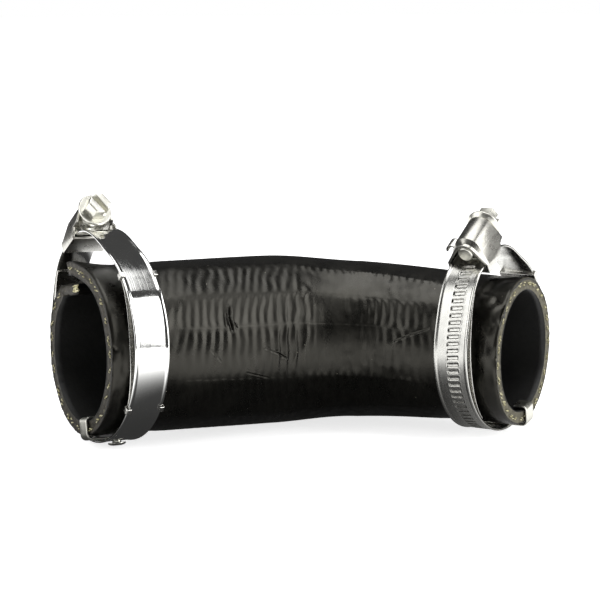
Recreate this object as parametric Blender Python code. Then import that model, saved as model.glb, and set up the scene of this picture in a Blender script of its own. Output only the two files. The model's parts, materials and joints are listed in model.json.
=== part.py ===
# Charge air hose: a bent rubber reducer hose with a worm drive clamp hung on each end,
# lying on a table the way it comes out of its bag, with both clamps loose.
# Metres, +Z up, +X from the wide end to the narrow end, -Y towards the viewer.

import math

import bmesh
import bpy
from mathutils import Matrix, Vector

MM = 0.001

# Space left between two pieces that touch on the real part
GAP = 0.3 * MM

# Hose: two straight ends joined by one bend, wide on the left and narrow on the right
LEFT_BORE = 45.9 * MM
LEFT_WALL = 5.1 * MM
RIGHT_BORE = 40.3 * MM
RIGHT_WALL = 4.6 * MM
LEFT_STRAIGHT = 63.0 * MM
RIGHT_STRAIGHT = 39.5 * MM
BEND_RADIUS = 58.6 * MM
BEND_ANGLE = math.radians(56.0)
BELLY_SWELL = 0.5 * MM
WAIST_SWELL = 1.9 * MM
REDUCER_LEAD = 5.7 * MM
REDUCER_LENGTH = 32.0 * MM
CUFF_LENGTH = 22.0 * MM
HOSE_SIDES = 56
BEND_STEPS = 12

# Notch torn into the upper far side of the wide end
NOTCH_WIDTH = 8.5 * MM
NOTCH_DEPTH = 9.0 * MM
NOTCH_ANGLE = math.radians(24.0)

# Clamps: the same product twice, closed to two sizes. A clamp's own axes are X along the hose
# towards its open end, Y along the worm screw towards its head, Z out through the housing.
BAND_WIDTH = 12.0 * MM
BAND_THICKNESS = 0.8 * MM
LEFT_RING = 33.1 * MM
RIGHT_RING = 29.5 * MM
LEFT_INSET = 9.9 * MM
RIGHT_INSET = 11.6 * MM
LEFT_YAW = math.radians(3.0)
RIGHT_YAW = math.radians(4.0)
LEFT_LEAN = math.radians(34.0)
RIGHT_LEAN = math.radians(34.0)
BLEND_ANGLE = math.radians(42.0)

# Thread slots pressed into the band for the worm
SLOT_PITCH = 2.8 * MM
SLOT_LENGTH = 4.9 * MM
SLOT_WIDTH = 1.5 * MM
SLOT_DEPTH = 0.3 * MM
SLOT_SLOPE = 0.2 * MM
SLOT_OFFSET = 0.6 * MM
SLOT_SKEW = 0.12
SLOT_END = math.radians(-138.0)

# Housing: an arch of sheet over the worm, closed under the band by a saddle
HOUSING_SHEET = 0.9 * MM
HOUSING_LENGTH = 14.0 * MM
FEET_LENGTH = 9.4 * MM
NECK_LENGTH = 2.6 * MM
SADDLE_THICKNESS = 0.8 * MM
HEEL_REACH = 1.9 * MM
HEEL_HEIGHT = 3.5 * MM
HEEL_RISE = 0.7 * MM
CURL_RADIUS = 2.1 * MM
CURL_LENGTH = 4.0 * MM
CURL_START = math.radians(20.0)
CURL_TURN = math.radians(176.0)

# Worm screw
THREAD_RADIUS = 3.6 * MM
ROOT_RADIUS = 2.75 * MM
TIP_RADIUS = 2.6 * MM
THREAD_SHARE = 0.62
THREAD_EDGE = 0.16
FLANGE_RADIUS = 5.7 * MM
FLANGE_SHEET = 0.4 * MM
HEX_ACROSS_FLATS = 7.0 * MM
HEX_HEIGHT = 4.8 * MM
DRIVE_SLOT_WIDTH = 1.8 * MM
DRIVE_SLOT_DEPTH = 2.6 * MM
SCREW_SIDES = 24

# Spring liners: two sprung leaves inside each band, crimped round its edges at their ends
LINER_THICKNESS = 0.4 * MM
LINER_BULGE = 2.2 * MM
LINER_SPANS = {"head_side": (math.radians(76.0), math.radians(160.0)),
               "tip_side": (math.radians(-24.0), math.radians(-104.0))}
LINER_STEPS = 14
EAR_LENGTH = 2.2 * MM
EAR_LIP = 1.0 * MM

# End clip: a strip riveted under the band, run along the hose and hooked over its end
CLIP_WIDTH = 6.0 * MM
CLIP_THICKNESS = 0.8 * MM
CLIP_REACH = 6.0 * MM
CLIP_TAIL = 4.5 * MM
CLIP_ANGLE = math.radians(202.0)
RIVET_RADIUS = 1.5 * MM
RIVET_HEAD_RADIUS = 2.95 * MM
RIVET_HEAD = 1.0 * MM

# Sizes that follow from the ones above
LEFT_RADIUS = LEFT_BORE / 2 + LEFT_WALL
RIGHT_RADIUS = RIGHT_BORE / 2 + RIGHT_WALL
BEND_LENGTH = BEND_RADIUS * BEND_ANGLE
HOSE_LENGTH = LEFT_STRAIGHT + BEND_LENGTH + RIGHT_STRAIGHT
REDUCER_START = LEFT_STRAIGHT + REDUCER_LEAD
HALF_BAND = BAND_WIDTH / 2
CLIP_STACK = GAP + CLIP_THICKNESS + GAP
SADDLE_TOP = SADDLE_THICKNESS
FIXED_TOP = SADDLE_TOP + GAP + BAND_THICKNESS
THREADED_TOP = FIXED_TOP + GAP + BAND_THICKNESS
SCREW_HEIGHT = THREADED_TOP + GAP + THREAD_RADIUS


def material(name, colour, roughness, metallic):
    look = bpy.data.materials.new(name)
    look.use_nodes = True
    shader = look.node_tree.nodes["Principled BSDF"]
    shader.inputs["Base Color"].default_value = (*colour, 1.0)
    shader.inputs["Roughness"].default_value = roughness
    shader.inputs["Metallic"].default_value = metallic
    return look


def solid(name, corners, faces, parent, look):
    mesh = bpy.data.meshes.new(name)
    shape = bmesh.new()
    vertices = [shape.verts.new(corner) for corner in corners]
    for face in faces:
        shape.faces.new([vertices[i] for i in face])
    bmesh.ops.recalc_face_normals(shape, faces=shape.faces)
    shape.to_mesh(mesh)
    shape.free()
    mesh.materials.append(look)
    mesh.shade_smooth()
    mesh.set_sharp_from_angle(angle=math.radians(35.0))
    piece = bpy.data.objects.new(name, mesh)
    bpy.context.collection.objects.link(piece)
    piece.parent = parent
    return piece


def skin(loops, closed):
    # Quads between neighbouring loops of points; a closed row of loops makes a ring-shaped solid,
    # an open one is capped at both ends
    count = len(loops[0])
    corners = [point for loop in loops for point in loop]
    faces = []
    for row in range(len(loops) if closed else len(loops) - 1):
        here = row * count
        there = (row + 1) % len(loops) * count
        for i in range(count):
            j = (i + 1) % count
            faces.append((here + i, here + j, there + j, there + i))
    if not closed:
        faces.append(tuple(range(count)))
        faces.append(tuple(range(len(corners) - count, len(corners))))
    return corners, faces


def modify(piece, tool, operation):
    change = piece.modifiers.new(tool.name, "BOOLEAN")
    change.operation = operation
    change.object = tool
    change.solver = "EXACT"
    tool.hide_render = True
    tool.display_type = "WIRE"


def smooth(t):
    t = min(max(t, 0.0), 1.0)
    return t * t * (3 - 2 * t)


# Hose

def hose_point(s):
    # Place and heading of the centre line, s metres from the wide end
    half = BEND_ANGLE / 2
    heading = half - min(max((s - LEFT_STRAIGHT) / BEND_RADIUS, 0.0), BEND_ANGLE)
    start = Vector((math.cos(half), math.sin(half), 0.0)) * min(s, LEFT_STRAIGHT)
    arc_x = math.sin(half) - math.sin(heading)
    arc_y = math.cos(heading) - math.cos(half)
    arc = Vector((arc_x, arc_y, 0.0)) * BEND_RADIUS
    direction = Vector((math.cos(heading), math.sin(heading), 0.0))
    rest = max(s - LEFT_STRAIGHT - BEND_LENGTH, 0.0)
    return start + arc + direction * rest, direction


def hose_radius(s):
    # The wide half swells a little behind its clamp, necks down in the bend, then tapers to its
    # cuff
    belly = LEFT_RADIUS + BELLY_SWELL * smooth((s - CUFF_LENGTH) / (REDUCER_START - CUFF_LENGTH))
    cuff = HOSE_LENGTH - CUFF_LENGTH
    draft = (cuff - s) / (cuff - REDUCER_START - REDUCER_LENGTH)
    waist = RIGHT_RADIUS + WAIST_SWELL * min(max(draft, 0.0), 1.0)
    return belly + (waist - belly) * smooth((s - REDUCER_START) / REDUCER_LENGTH)


def hose_wall(s):
    return LEFT_WALL + (RIGHT_WALL - LEFT_WALL) * smooth((s - REDUCER_START) / REDUCER_LENGTH)


def make_hose(parent, look):
    stations = [0.0] + [CUFF_LENGTH + (LEFT_STRAIGHT - CUFF_LENGTH) * i / 3 for i in range(3)]
    stations += [LEFT_STRAIGHT + BEND_LENGTH * i / BEND_STEPS for i in range(BEND_STEPS + 1)]
    stations += [HOSE_LENGTH - CUFF_LENGTH, HOSE_LENGTH]
    loops = []
    up = Vector((0, 0, 1))
    for side in range(HOSE_SIDES):
        around = math.tau * side / HOSE_SIDES
        outer, inner = [], []
        for s in stations:
            centre, heading = hose_point(s)
            across = up.cross(heading) * math.cos(around) + up * math.sin(around)
            outer.append(centre + across * hose_radius(s))
            inner.append(centre + across * (hose_radius(s) - hose_wall(s)))
        loops.append(outer + inner[::-1])
    hose = solid("hose", *skin(loops, True), parent, look)

    # The notch's cutter lies along the wide end's axis, through the wall at its angle
    frame = end_frame("left", 0.0)
    tilt = Matrix.Rotation(NOTCH_ANGLE, 4, "X")
    half = NOTCH_WIDTH / 2
    floor = -NOTCH_DEPTH
    outline = [(LEFT_WALL, -half), (floor + half / 2, -half), (floor, -half / 3), (floor, half / 3),
               (floor + half / 2, half), (LEFT_WALL, half)]
    low = LEFT_BORE / 2 - LEFT_WALL
    high = LEFT_RADIUS + LEFT_WALL
    loops = [[(x, y, z) for x, y in outline] for z in (low, high)]
    cutter = solid("notch_cutter", *skin(loops, False), parent, look)
    cutter.matrix_local = frame @ tilt
    modify(hose, cutter, "DIFFERENCE")
    return hose


def end_frame(side, inset):
    # Axes at a hose end: X out of the open end, Z up, moved in from the end face by inset
    if side == "left":
        centre, heading = hose_point(inset)
        out = -heading
    else:
        centre, out = hose_point(HOSE_LENGTH - inset)
    up = Vector((0, 0, 1))
    return placed(centre, out, up.cross(out), up)


def placed(origin, x, y, z):
    frame = Matrix((x, y, z)).transposed().to_4x4()
    frame.translation = origin
    return frame


# Clamp

class Clamp:
    # One worm drive clamp: its ring's outer radius, its place on the hose and its own axes

    def __init__(self, side, ring, inset, yaw, lean):
        self.side = side
        self.ring = ring
        self.hose_radius = LEFT_RADIUS if side == "left" else RIGHT_RADIUS
        self.hose_wall = LEFT_WALL if side == "left" else RIGHT_WALL
        self.inset = inset
        self.end = end_frame(side, 0.0)
        seat = end_frame(side, inset)
        # The ring is turned a little on the hose, and its housing leans off the top, away from
        # where its screw's head points: the left head is towards the viewer, the right one away
        inward = 1 if side == "left" else -1
        turned = Matrix.Rotation(yaw * inward, 3, "Z") @ seat.to_3x3()
        self.axis = turned.col[0].copy()
        up = Vector((0, 0, 1))
        self.out = up * math.cos(lean) - up.cross(self.axis) * math.sin(lean)
        self.along = self.out.cross(self.axis)
        reach = self.ring - BAND_THICKNESS - CLIP_STACK - self.hose_radius
        self.drop = self.out * math.cos(CLIP_ANGLE) + self.along * math.sin(CLIP_ANGLE)
        self.centre = seat.translation - self.drop * reach
        self.frame = placed(self.centre, self.axis, self.along, self.out)

    def band_radius(self, angle):
        # Outer surface of the band at an angle from the housing, positive towards the screw head.
        # It runs flat under the housing and curves back to the ring on both sides.
        if angle > math.radians(-180.0):
            top, end, turn = THREADED_TOP, -BAND_THICKNESS, -1
            edge = math.atan2(end, self.ring + top)
        else:
            angle += math.tau
            top, end, turn = FIXED_TOP, FEET_LENGTH - 2 * GAP, 1
            edge = math.atan2(end, self.ring + top)
        flat = self.ring + top
        past = (angle - edge) * turn
        if past <= 0:
            return flat / math.cos(angle)
        t = min(past / BLEND_ANGLE, 1.0)
        at_edge = flat / math.cos(edge)
        slope = flat * math.sin(abs(edge)) / math.cos(edge) ** 2
        return ((2 * t ** 3 - 3 * t ** 2 + 1) * at_edge + (t ** 3 - 2 * t ** 2 + t) * slope * BLEND_ANGLE
                + (3 * t ** 2 - 2 * t ** 3) * self.ring)

    def ring_radius(self, angle):
        # The same for a place on the ring: in front of the housing the threaded end covers it
        return self.band_radius(angle if angle < 0 else angle - math.tau)

    def point(self, x, radius, angle):
        return Vector((x, radius * math.sin(angle), radius * math.cos(angle)))


def band_rows(clamp):
    # Angles along the band from its threaded end to its fixed end, each with a slot's depth there
    threaded_end = math.atan2(FEET_LENGTH - GAP, clamp.ring + THREADED_TOP)
    fixed_end = math.atan2(2 * GAP, clamp.ring + FIXED_TOP) - math.tau
    step = SLOT_PITCH / clamp.ring
    rim = SLOT_WIDTH / 2 / clamp.ring
    floor = rim - SLOT_SLOPE / clamp.ring
    rows = [(threaded_end, 0.0)]
    angle = threaded_end - step
    while angle > SLOT_END:
        rows += [(angle + rim, 0.0), (angle + floor, 1.0), (angle - floor, 1.0), (angle - rim, 0.0)]
        angle -= step
    plain = rows[-1][0]
    steps = math.ceil((plain - fixed_end) / math.radians(6.0))
    rows += [(plain + (fixed_end - plain) * i / steps, 0.0) for i in range(1, steps + 1)]
    return rows


def make_band(clamp, parent, look):
    left = SLOT_OFFSET - SLOT_LENGTH / 2
    right = SLOT_OFFSET + SLOT_LENGTH / 2
    columns = [(-HALF_BAND, 0.0, 0.0), (left, 0.0, 1.0), (left + SLOT_SLOPE, 1.0, 1.0),
               (right - SLOT_SLOPE, 1.0, 1.0), (right, 0.0, 1.0), (HALF_BAND, 0.0, 0.0)]
    loops = []
    for angle, deep in band_rows(clamp):
        radius = clamp.band_radius(angle)
        slotted = 1.0 if angle > SLOT_END else 0.0
        outer = []
        for x, floor, skewed in columns:
            turn = angle + SLOT_SKEW * (x - SLOT_OFFSET) * skewed * slotted / clamp.ring
            outer.append(clamp.point(x, radius - SLOT_DEPTH * deep * floor, turn))
        inner = [clamp.point(x, radius - BAND_THICKNESS, angle) for x in (HALF_BAND, -HALF_BAND)]
        loops.append(outer + inner)
    band = solid(f"{clamp.side}_band", *skin(loops, False), parent, look)
    modify(band, rivet_hole(clamp, parent, look), "DIFFERENCE")
    return band


def rivet_hole(clamp, parent, look):
    name = f"{clamp.side}_rivet_hole"
    if name in bpy.data.objects:
        return bpy.data.objects[name]
    radius = RIVET_RADIUS + GAP
    depths = (clamp.ring - BAND_THICKNESS - CLIP_STACK + GAP / 2, clamp.ring + BAND_THICKNESS)
    return turned_piece(name, [(radius, d) for d in depths], clamp, parent, look)


def turned_piece(name, profile, clamp, parent, look, sides=20):
    # A turned piece whose axis is the clamp's radius at the clip, from a profile of (radius, depth)
    loops = []
    axis = clamp.point(0.0, 1.0, CLIP_ANGLE)
    across = Vector((1, 0, 0))
    other = axis.cross(across)
    for radius, depth in profile:
        loops.append([axis * depth + (across * math.cos(math.tau * i / sides)
                                      + other * math.sin(math.tau * i / sides)) * radius
                      for i in range(sides)])
    return solid(name, *skin(loops, False), parent, look)


def make_rivet(clamp, parent, look):
    start = clamp.ring - BAND_THICKNESS - CLIP_STACK + GAP * 1.5
    head = clamp.ring + GAP
    dome = [(1.0, 0.0), (1.0, 0.4), (0.8, 0.8), (0.45, 1.0)]
    profile = [(RIVET_RADIUS, start), (RIVET_RADIUS, head)]
    profile += [(RIVET_HEAD_RADIUS * wide, head + RIVET_HEAD * deep) for wide, deep in dome]
    return turned_piece(f"{clamp.side}_clip_rivet", profile, clamp, parent, look)


def arch_outline(foot_x, low, foot, radius, height):
    # Closed outline across the housing: saddle, upright feet, leaning legs and a round top
    corner = Vector((foot_x, foot - height))
    turn = math.atan2(corner.y, corner.x) + math.acos(radius / corner.length)
    steps = 12
    arc = [(radius * math.cos(a), height + radius * math.sin(a))
           for a in (turn + (math.pi - 2 * turn) * i / steps for i in range(steps + 1))]
    return [(foot_x, low), (foot_x, foot)] + arc + [(-foot_x, foot), (-foot_x, low)]


def make_housing(clamp, parent, look):
    height = clamp.ring + SCREW_HEIGHT
    foot = clamp.ring + THREADED_TOP + GAP
    bottom = clamp.ring
    inner_foot = HALF_BAND + GAP
    outer_foot = inner_foot + HOUSING_SHEET
    neck = TIP_RADIUS + GAP
    arch = THREAD_RADIUS + GAP
    outer_rows, inner_rows = [], []
    for y, inside in ((0.0, neck), (NECK_LENGTH * 0.4, neck), (NECK_LENGTH, arch), (HOUSING_LENGTH, arch)):
        outer = arch_outline(outer_foot, bottom, foot, inside + HOUSING_SHEET, height)
        inner = arch_outline(inner_foot, bottom + SADDLE_THICKNESS, foot, inside, height)
        outer_rows.append([(x, y, z) for x, z in outer])
        inner_rows.append([(x, y, z) for x, z in inner])
    loops = []
    for i in range(len(outer_rows[0])):
        loops.append([row[i] for row in outer_rows] + [row[i] for row in inner_rows[::-1]])
    housing = solid(f"{clamp.side}_housing", *skin(loops, True), parent, look)

    # Behind its feet the housing is cut away under the arch, so that the screw's flange hangs free
    heel = FEET_LENGTH + HEEL_REACH
    heel_z = bottom + HEEL_HEIGHT
    past = HOUSING_LENGTH + BAND_THICKNESS
    under = bottom - BAND_THICKNESS
    side = [(FEET_LENGTH, under), (past, under), (past, heel_z + HEEL_RISE), (heel, heel_z),
            (FEET_LENGTH, bottom + SADDLE_THICKNESS)]
    wide = outer_foot + BAND_THICKNESS
    loops = [[(x, y, z) for y, z in side] for x in (-wide, wide)]
    modify(housing, solid(f"{clamp.side}_heel_cutter", *skin(loops, False), parent, look), "DIFFERENCE")

    # A curled lip on the side of the foot away from the hose's end
    loops = []
    curl_x = -(outer_foot + 0.25 * CURL_RADIUS)
    curl_z = foot + 0.4 * CURL_RADIUS
    curl_inside = CURL_RADIUS - 0.7 * HOUSING_SHEET
    turns = [CURL_START + CURL_TURN * i / 8 for i in range(9)]
    ring = [(CURL_RADIUS, a) for a in turns] + [(curl_inside, a) for a in turns[::-1]]
    for y in (FEET_LENGTH - CURL_LENGTH - GAP, FEET_LENGTH - GAP):
        loops.append([(curl_x + r * math.cos(a), y, curl_z + r * math.sin(a)) for r, a in ring])
    modify(housing, solid(f"{clamp.side}_curl", *skin(loops, False), parent, look), "UNION")
    return housing


def hex_radius(angle):
    sixth = math.tau / 6
    return HEX_ACROSS_FLATS / 2 / math.cos((angle % sixth) - sixth / 2)


def make_screw(clamp, parent, look):
    # The screw's origin is on its axis at the housing's front face; Y runs to the head
    thread_start = NECK_LENGTH + GAP
    thread_end = HOUSING_LENGTH - 2 * GAP
    flange = HOUSING_LENGTH + GAP
    rows = [(0.0, TIP_RADIUS * 0.88), (GAP, TIP_RADIUS), (NECK_LENGTH - GAP, TIP_RADIUS)]
    count = math.ceil((thread_end - thread_start) / SLOT_PITCH * 8)
    rows += [(thread_start + (thread_end - thread_start) * i / count, None) for i in range(count + 1)]
    rim = flange + 3 * FLANGE_SHEET
    rows += [(flange, ROOT_RADIUS), (flange, 0.8 * FLANGE_RADIUS), (rim, FLANGE_RADIUS),
             (rim + FLANGE_SHEET, FLANGE_RADIUS), (rim + 2 * FLANGE_SHEET, 0.94 * FLANGE_RADIUS)]
    face = rim + 1.5 * FLANGE_SHEET
    loops = []
    for y, radius in rows:
        loop = []
        for i in range(SCREW_SIDES):
            angle = math.tau * i / SCREW_SIDES
            r = radius
            if r is None:
                turn = (y / SLOT_PITCH - i / SCREW_SIDES) % 1.0
                ramp = smooth(min(y - thread_start, thread_end - y) / SLOT_PITCH * 2)
                ridge = smooth(min(turn, THREAD_SHARE - turn) / THREAD_EDGE)
                r = ROOT_RADIUS + (THREAD_RADIUS - ROOT_RADIUS) * ridge * ramp
            loop.append((r * math.cos(angle), y, r * math.sin(angle)))
        loops.append(loop)
    turns = [math.tau * i / SCREW_SIDES for i in range(SCREW_SIDES)]
    for y, share in ((face, 1.0), (face + HEX_HEIGHT * 0.92, 1.0), (face + HEX_HEIGHT, 0.92)):
        ring = [(share * hex_radius(a), a) for a in turns]
        loops.append([(r * math.cos(a), y, r * math.sin(a)) for r, a in ring])
    screw = solid(f"{clamp.side}_worm_screw", *skin(loops, False), parent, look)

    half = DRIVE_SLOT_WIDTH / 2
    floor = face + HEX_HEIGHT - DRIVE_SLOT_DEPTH
    ends = HEX_ACROSS_FLATS
    loops = [[(-ends, y, -half), (ends, y, -half), (ends, y, half), (-ends, y, half)]
             for y in (floor, face + HEX_HEIGHT + DRIVE_SLOT_DEPTH)]
    slot = solid(f"{clamp.side}_drive_slot_cutter", *skin(loops, False), screw, look)
    modify(screw, slot, "DIFFERENCE")
    screw.location = (0.0, 0.0, clamp.ring + SCREW_HEIGHT)
    return screw


def make_liner(clamp, name, span, parent, look):
    first, last = span
    half = HALF_BAND - GAP
    loops = []
    for i in range(LINER_STEPS + 1):
        share = i / LINER_STEPS
        angle = first + (last - first) * share
        bow = LINER_BULGE * math.sin(math.pi * share) ** 2
        top = clamp.ring_radius(angle) - BAND_THICKNESS - GAP - bow
        low = top - LINER_THICKNESS
        loops.append([clamp.point(-half, top, angle), clamp.point(half, top, angle),
                      clamp.point(half, low, angle), clamp.point(-half, low, angle)])
    liner = solid(f"{clamp.side}_liner_{name}", *skin(loops, False), parent, look)

    # At each end a crimped ear holds the leaf from below and folds over both edges of the band
    inner = HALF_BAND + GAP
    outer = inner + LINER_THICKNESS
    turn = math.copysign(EAR_LENGTH / 2 / clamp.ring, last - first)
    for i, angle in enumerate((first + turn, last - turn)):
        band_top = clamp.ring_radius(angle)
        seat = band_top - BAND_THICKNESS - GAP
        low = seat - LINER_THICKNESS * 1.6
        sill = seat - LINER_THICKNESS * 0.4
        lip = band_top + GAP
        top = lip + LINER_THICKNESS
        edge = inner - EAR_LIP
        half_outline = [(outer, low), (outer, top), (edge, top), (edge, lip), (inner, lip),
                        (inner, sill)]
        outline = half_outline + [(-x, z) for x, z in half_outline[::-1]]
        tangent = Vector((0, math.cos(angle), -math.sin(angle))) * EAR_LENGTH / 2
        loops = [[clamp.point(x, z, angle) + tangent * sign for x, z in outline] for sign in (-1, 1)]
        ear = solid(f"{clamp.side}_liner_{name}_ear_{i}", *skin(loops, False), parent, look)
        modify(liner, ear, "UNION")
    return liner


def make_clip(clamp, assembly, clamp_parent, look):
    # Built in the hose end's own axes: X out of the end, Z from the axis to the clip
    out_of_end = clamp.end.to_3x3().col[0]
    down = (clamp.drop - out_of_end * clamp.drop.dot(out_of_end)).normalized()
    frame = placed(clamp.end.translation, out_of_end, down.cross(out_of_end), down)
    low = clamp.hose_radius + GAP
    top = low + CLIP_THICKNESS
    inner_top = clamp.hose_radius - clamp.hose_wall - 2 * GAP
    inner_low = inner_top - CLIP_THICKNESS
    face = GAP
    front = face + CLIP_THICKNESS
    tail = -clamp.inset - CLIP_TAIL
    round_in = CLIP_THICKNESS * 0.6
    side = [(tail, low), (face, low), (face, inner_top), (-CLIP_REACH, inner_top),
            (-CLIP_REACH, inner_low), (front - round_in, inner_low), (front, inner_low + round_in),
            (front, top - round_in), (front - round_in, top), (tail, top)]
    loops = [[(x, y, z) for x, z in side] for y in (-CLIP_WIDTH / 2, CLIP_WIDTH / 2)]
    clip = solid(f"{clamp.side}_end_clip", *skin(loops, False), assembly, look)
    clip.matrix_local = frame
    modify(clip, rivet_hole(clamp, clamp_parent, look), "DIFFERENCE")
    return clip


def make_clamp(clamp, assembly, looks):
    parent = bpy.data.objects.new(f"{clamp.side}_clamp", None)
    bpy.context.collection.objects.link(parent)
    parent.parent = assembly
    parent.matrix_local = clamp.frame
    pieces = [make_band(clamp, parent, looks["band"]), make_housing(clamp, parent, looks["housing"]),
              make_screw(clamp, parent, looks["screw"]), make_rivet(clamp, parent, looks["rivet"]),
              make_clip(clamp, assembly, parent, looks["clip"])]
    for name, span in LINER_SPANS.items():
        pieces.append(make_liner(clamp, name, span, parent, looks["liner"]))
    return pieces


# Resting place

def corners_of(pieces):
    scene = bpy.context.evaluated_depsgraph_get()
    found = []
    for piece in pieces:
        shape = piece.evaluated_get(scene)
        found += [shape.matrix_world @ vertex.co for vertex in shape.data.vertices]
    return found


def settle(assembly, groups):
    # Turn the assembly until the lowest point of each group lies in one level plane, then put
    # the middle of its footprint at the origin
    points = [corners_of(group) for group in groups]
    turn = Matrix.Identity(4)
    for _ in range(8):
        lows = [min((turn @ point for point in group), key=lambda p: p.z) for group in points]
        normal = (lows[1] - lows[0]).cross(lows[2] - lows[0]).normalized()
        if normal.z < 0:
            normal.negate()
        turn = normal.rotation_difference(Vector((0, 0, 1))).to_matrix().to_4x4() @ turn
    everything = [turn @ point for group in points for point in group]
    low = Vector([min(p[i] for p in everything) for i in range(3)])
    high = Vector([max(p[i] for p in everything) for i in range(3)])
    middle = (low + high) / 2
    assembly.matrix_world = Matrix.Translation((-middle.x, -middle.y, -low.z)) @ turn


def main():
    for old in list(bpy.data.objects):
        bpy.data.objects.remove(old)
    rubber = material("hose_rubber", (0.02, 0.02, 0.018), 0.4, 0.0)
    polished = material("polished_band", (0.85, 0.85, 0.85), 0.12, 1.0)
    satin = material("satin_band", (0.68, 0.68, 0.66), 0.3, 1.0)
    plated = material("plated_steel", (0.74, 0.73, 0.68), 0.3, 1.0)
    pressed = material("pressed_housing", (0.6, 0.59, 0.55), 0.28, 1.0)
    sprung = material("spring_steel", (0.45, 0.45, 0.44), 0.3, 1.0)

    assembly = bpy.data.objects.new("assembly", None)
    bpy.context.collection.objects.link(assembly)
    hose = make_hose(assembly, rubber)
    looks = {"housing": pressed, "screw": plated, "rivet": plated, "clip": plated, "liner": sprung}
    left = Clamp("left", LEFT_RING, LEFT_INSET, LEFT_YAW, LEFT_LEAN)
    right = Clamp("right", RIGHT_RING, RIGHT_INSET, RIGHT_YAW, RIGHT_LEAN)
    groups = [[hose], make_clamp(left, assembly, looks | {"band": polished}),
              make_clamp(right, assembly, looks | {"band": satin})]
    bpy.context.view_layer.update()
    settle(assembly, groups)


main()
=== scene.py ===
# %% [markdown]
# # Charge air hose with its two clamps
# The part is a bent rubber hose that feeds air from a turbocharger's cooler to an engine. It
# tapers a little from its wide left end to its narrow right end, and a worm drive clamp hangs
# loose on each end. The model that the engineers packed gives every size; this script gives
# the part its surfaces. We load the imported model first, so that everything after it can ask
# where a piece is.

import json
import math

import bmesh
import bpy
import numpy as np
from mathutils import Matrix, Vector


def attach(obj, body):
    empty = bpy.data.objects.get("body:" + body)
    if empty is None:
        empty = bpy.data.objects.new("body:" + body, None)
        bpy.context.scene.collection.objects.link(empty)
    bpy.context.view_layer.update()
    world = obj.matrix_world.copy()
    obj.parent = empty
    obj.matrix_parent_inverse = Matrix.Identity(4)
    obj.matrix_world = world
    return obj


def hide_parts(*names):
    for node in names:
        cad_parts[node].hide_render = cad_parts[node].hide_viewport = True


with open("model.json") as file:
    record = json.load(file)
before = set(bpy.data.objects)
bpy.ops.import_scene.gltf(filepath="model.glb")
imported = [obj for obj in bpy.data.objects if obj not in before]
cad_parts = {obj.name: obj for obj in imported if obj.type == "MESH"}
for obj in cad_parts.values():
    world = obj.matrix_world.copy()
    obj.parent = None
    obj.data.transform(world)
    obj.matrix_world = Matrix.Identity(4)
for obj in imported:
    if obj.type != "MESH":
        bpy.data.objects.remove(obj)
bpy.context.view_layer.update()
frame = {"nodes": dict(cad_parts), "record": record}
BODY = "hose_and_clamps"
MM = 0.001

# %% [markdown]
# ## The camera
# The photograph was taken from the front, eleven degrees above the table, with a long lens:
# the far rims are hardly smaller than the near ones. The place, the tilt and the small roll
# came from lining up the rims and the outline of the hose with the picture.

# %% Camera
CAMERA_PLACE = Vector((-0.0002, -0.6135, 0.1515))
CAMERA_TILT = math.radians(11.28)
CAMERA_ROLL = math.radians(-0.39)
SENSOR_WIDTH, LENS_LENGTH = 36.0, 112.16
FRAME_SHIFT_UP = 0.075
NEAREST_SEEN = 0.01

ahead = Vector((0.0, math.cos(CAMERA_TILT), -math.sin(CAMERA_TILT)))
level_up = Vector((0.0, math.sin(CAMERA_TILT), math.cos(CAMERA_TILT)))
level_right = Vector((1.0, 0.0, 0.0))
right = level_right * math.cos(CAMERA_ROLL) + level_up * math.sin(CAMERA_ROLL)
up = level_up * math.cos(CAMERA_ROLL) - level_right * math.sin(CAMERA_ROLL)
camera_data = bpy.data.cameras.new("camera")
camera_data.sensor_width = SENSOR_WIDTH
camera_data.lens = LENS_LENGTH
camera_data.shift_y = FRAME_SHIFT_UP
camera_data.clip_start = NEAREST_SEEN
camera = bpy.data.objects.new("camera", camera_data)
facing = Matrix((right, up, -ahead)).transposed().to_4x4()
camera.matrix_world = Matrix.Translation(CAMERA_PLACE) @ facing
bpy.context.collection.objects.link(camera)
bpy.context.scene.camera = camera
bpy.context.scene.view_settings.view_transform = "Standard"
print("camera at", list(CAMERA_PLACE))

# %% [markdown]
# ## Sizes that the surfaces need
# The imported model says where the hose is, but a surface pattern has to know how far along the
# hose and how far round it a point lies. So the centre line is drawn again here from the same
# few sizes: a straight, a bend and another straight. Working on the unbent hose keeps every
# ripple and scratch at its true size.

# %% The hose's centre line
LEFT_BORE, LEFT_WALL = 45.9 * MM, 5.1 * MM
RIGHT_BORE, RIGHT_WALL = 40.3 * MM, 4.6 * MM
LEFT_STRAIGHT, RIGHT_STRAIGHT = 63.0 * MM, 39.5 * MM
BEND_RADIUS, BEND_ANGLE = 58.6 * MM, math.radians(56.0)
BELLY_SWELL, WAIST_SWELL = 0.5 * MM, 1.9 * MM
REDUCER_LEAD, REDUCER_LENGTH, CUFF_LENGTH = 5.7 * MM, 32.0 * MM, 22.0 * MM
LEFT_RADIUS = LEFT_BORE / 2 + LEFT_WALL
RIGHT_RADIUS = RIGHT_BORE / 2 + RIGHT_WALL
BEND_LENGTH = BEND_RADIUS * BEND_ANGLE
HOSE_LENGTH = LEFT_STRAIGHT + BEND_LENGTH + RIGHT_STRAIGHT
REDUCER_START = LEFT_STRAIGHT + REDUCER_LEAD
CUFF_START = HOSE_LENGTH - CUFF_LENGTH

# The hose lies on its clamps, tipped a little: this is its own set of axes in the room
HOSE_AXES = Matrix(((0.99985, -0.000505, 0.017318, -0.071687),
                    (-0.000436, 0.998526, 0.054275, -0.018627),
                    (-0.01732, -0.054275, 0.998376, 0.031353),
                    (0.0, 0.0, 0.0, 1.0)))


def ease(t):
    t = np.clip(t, 0.0, 1.0)
    return t * t * (3 - 2 * t)


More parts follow.
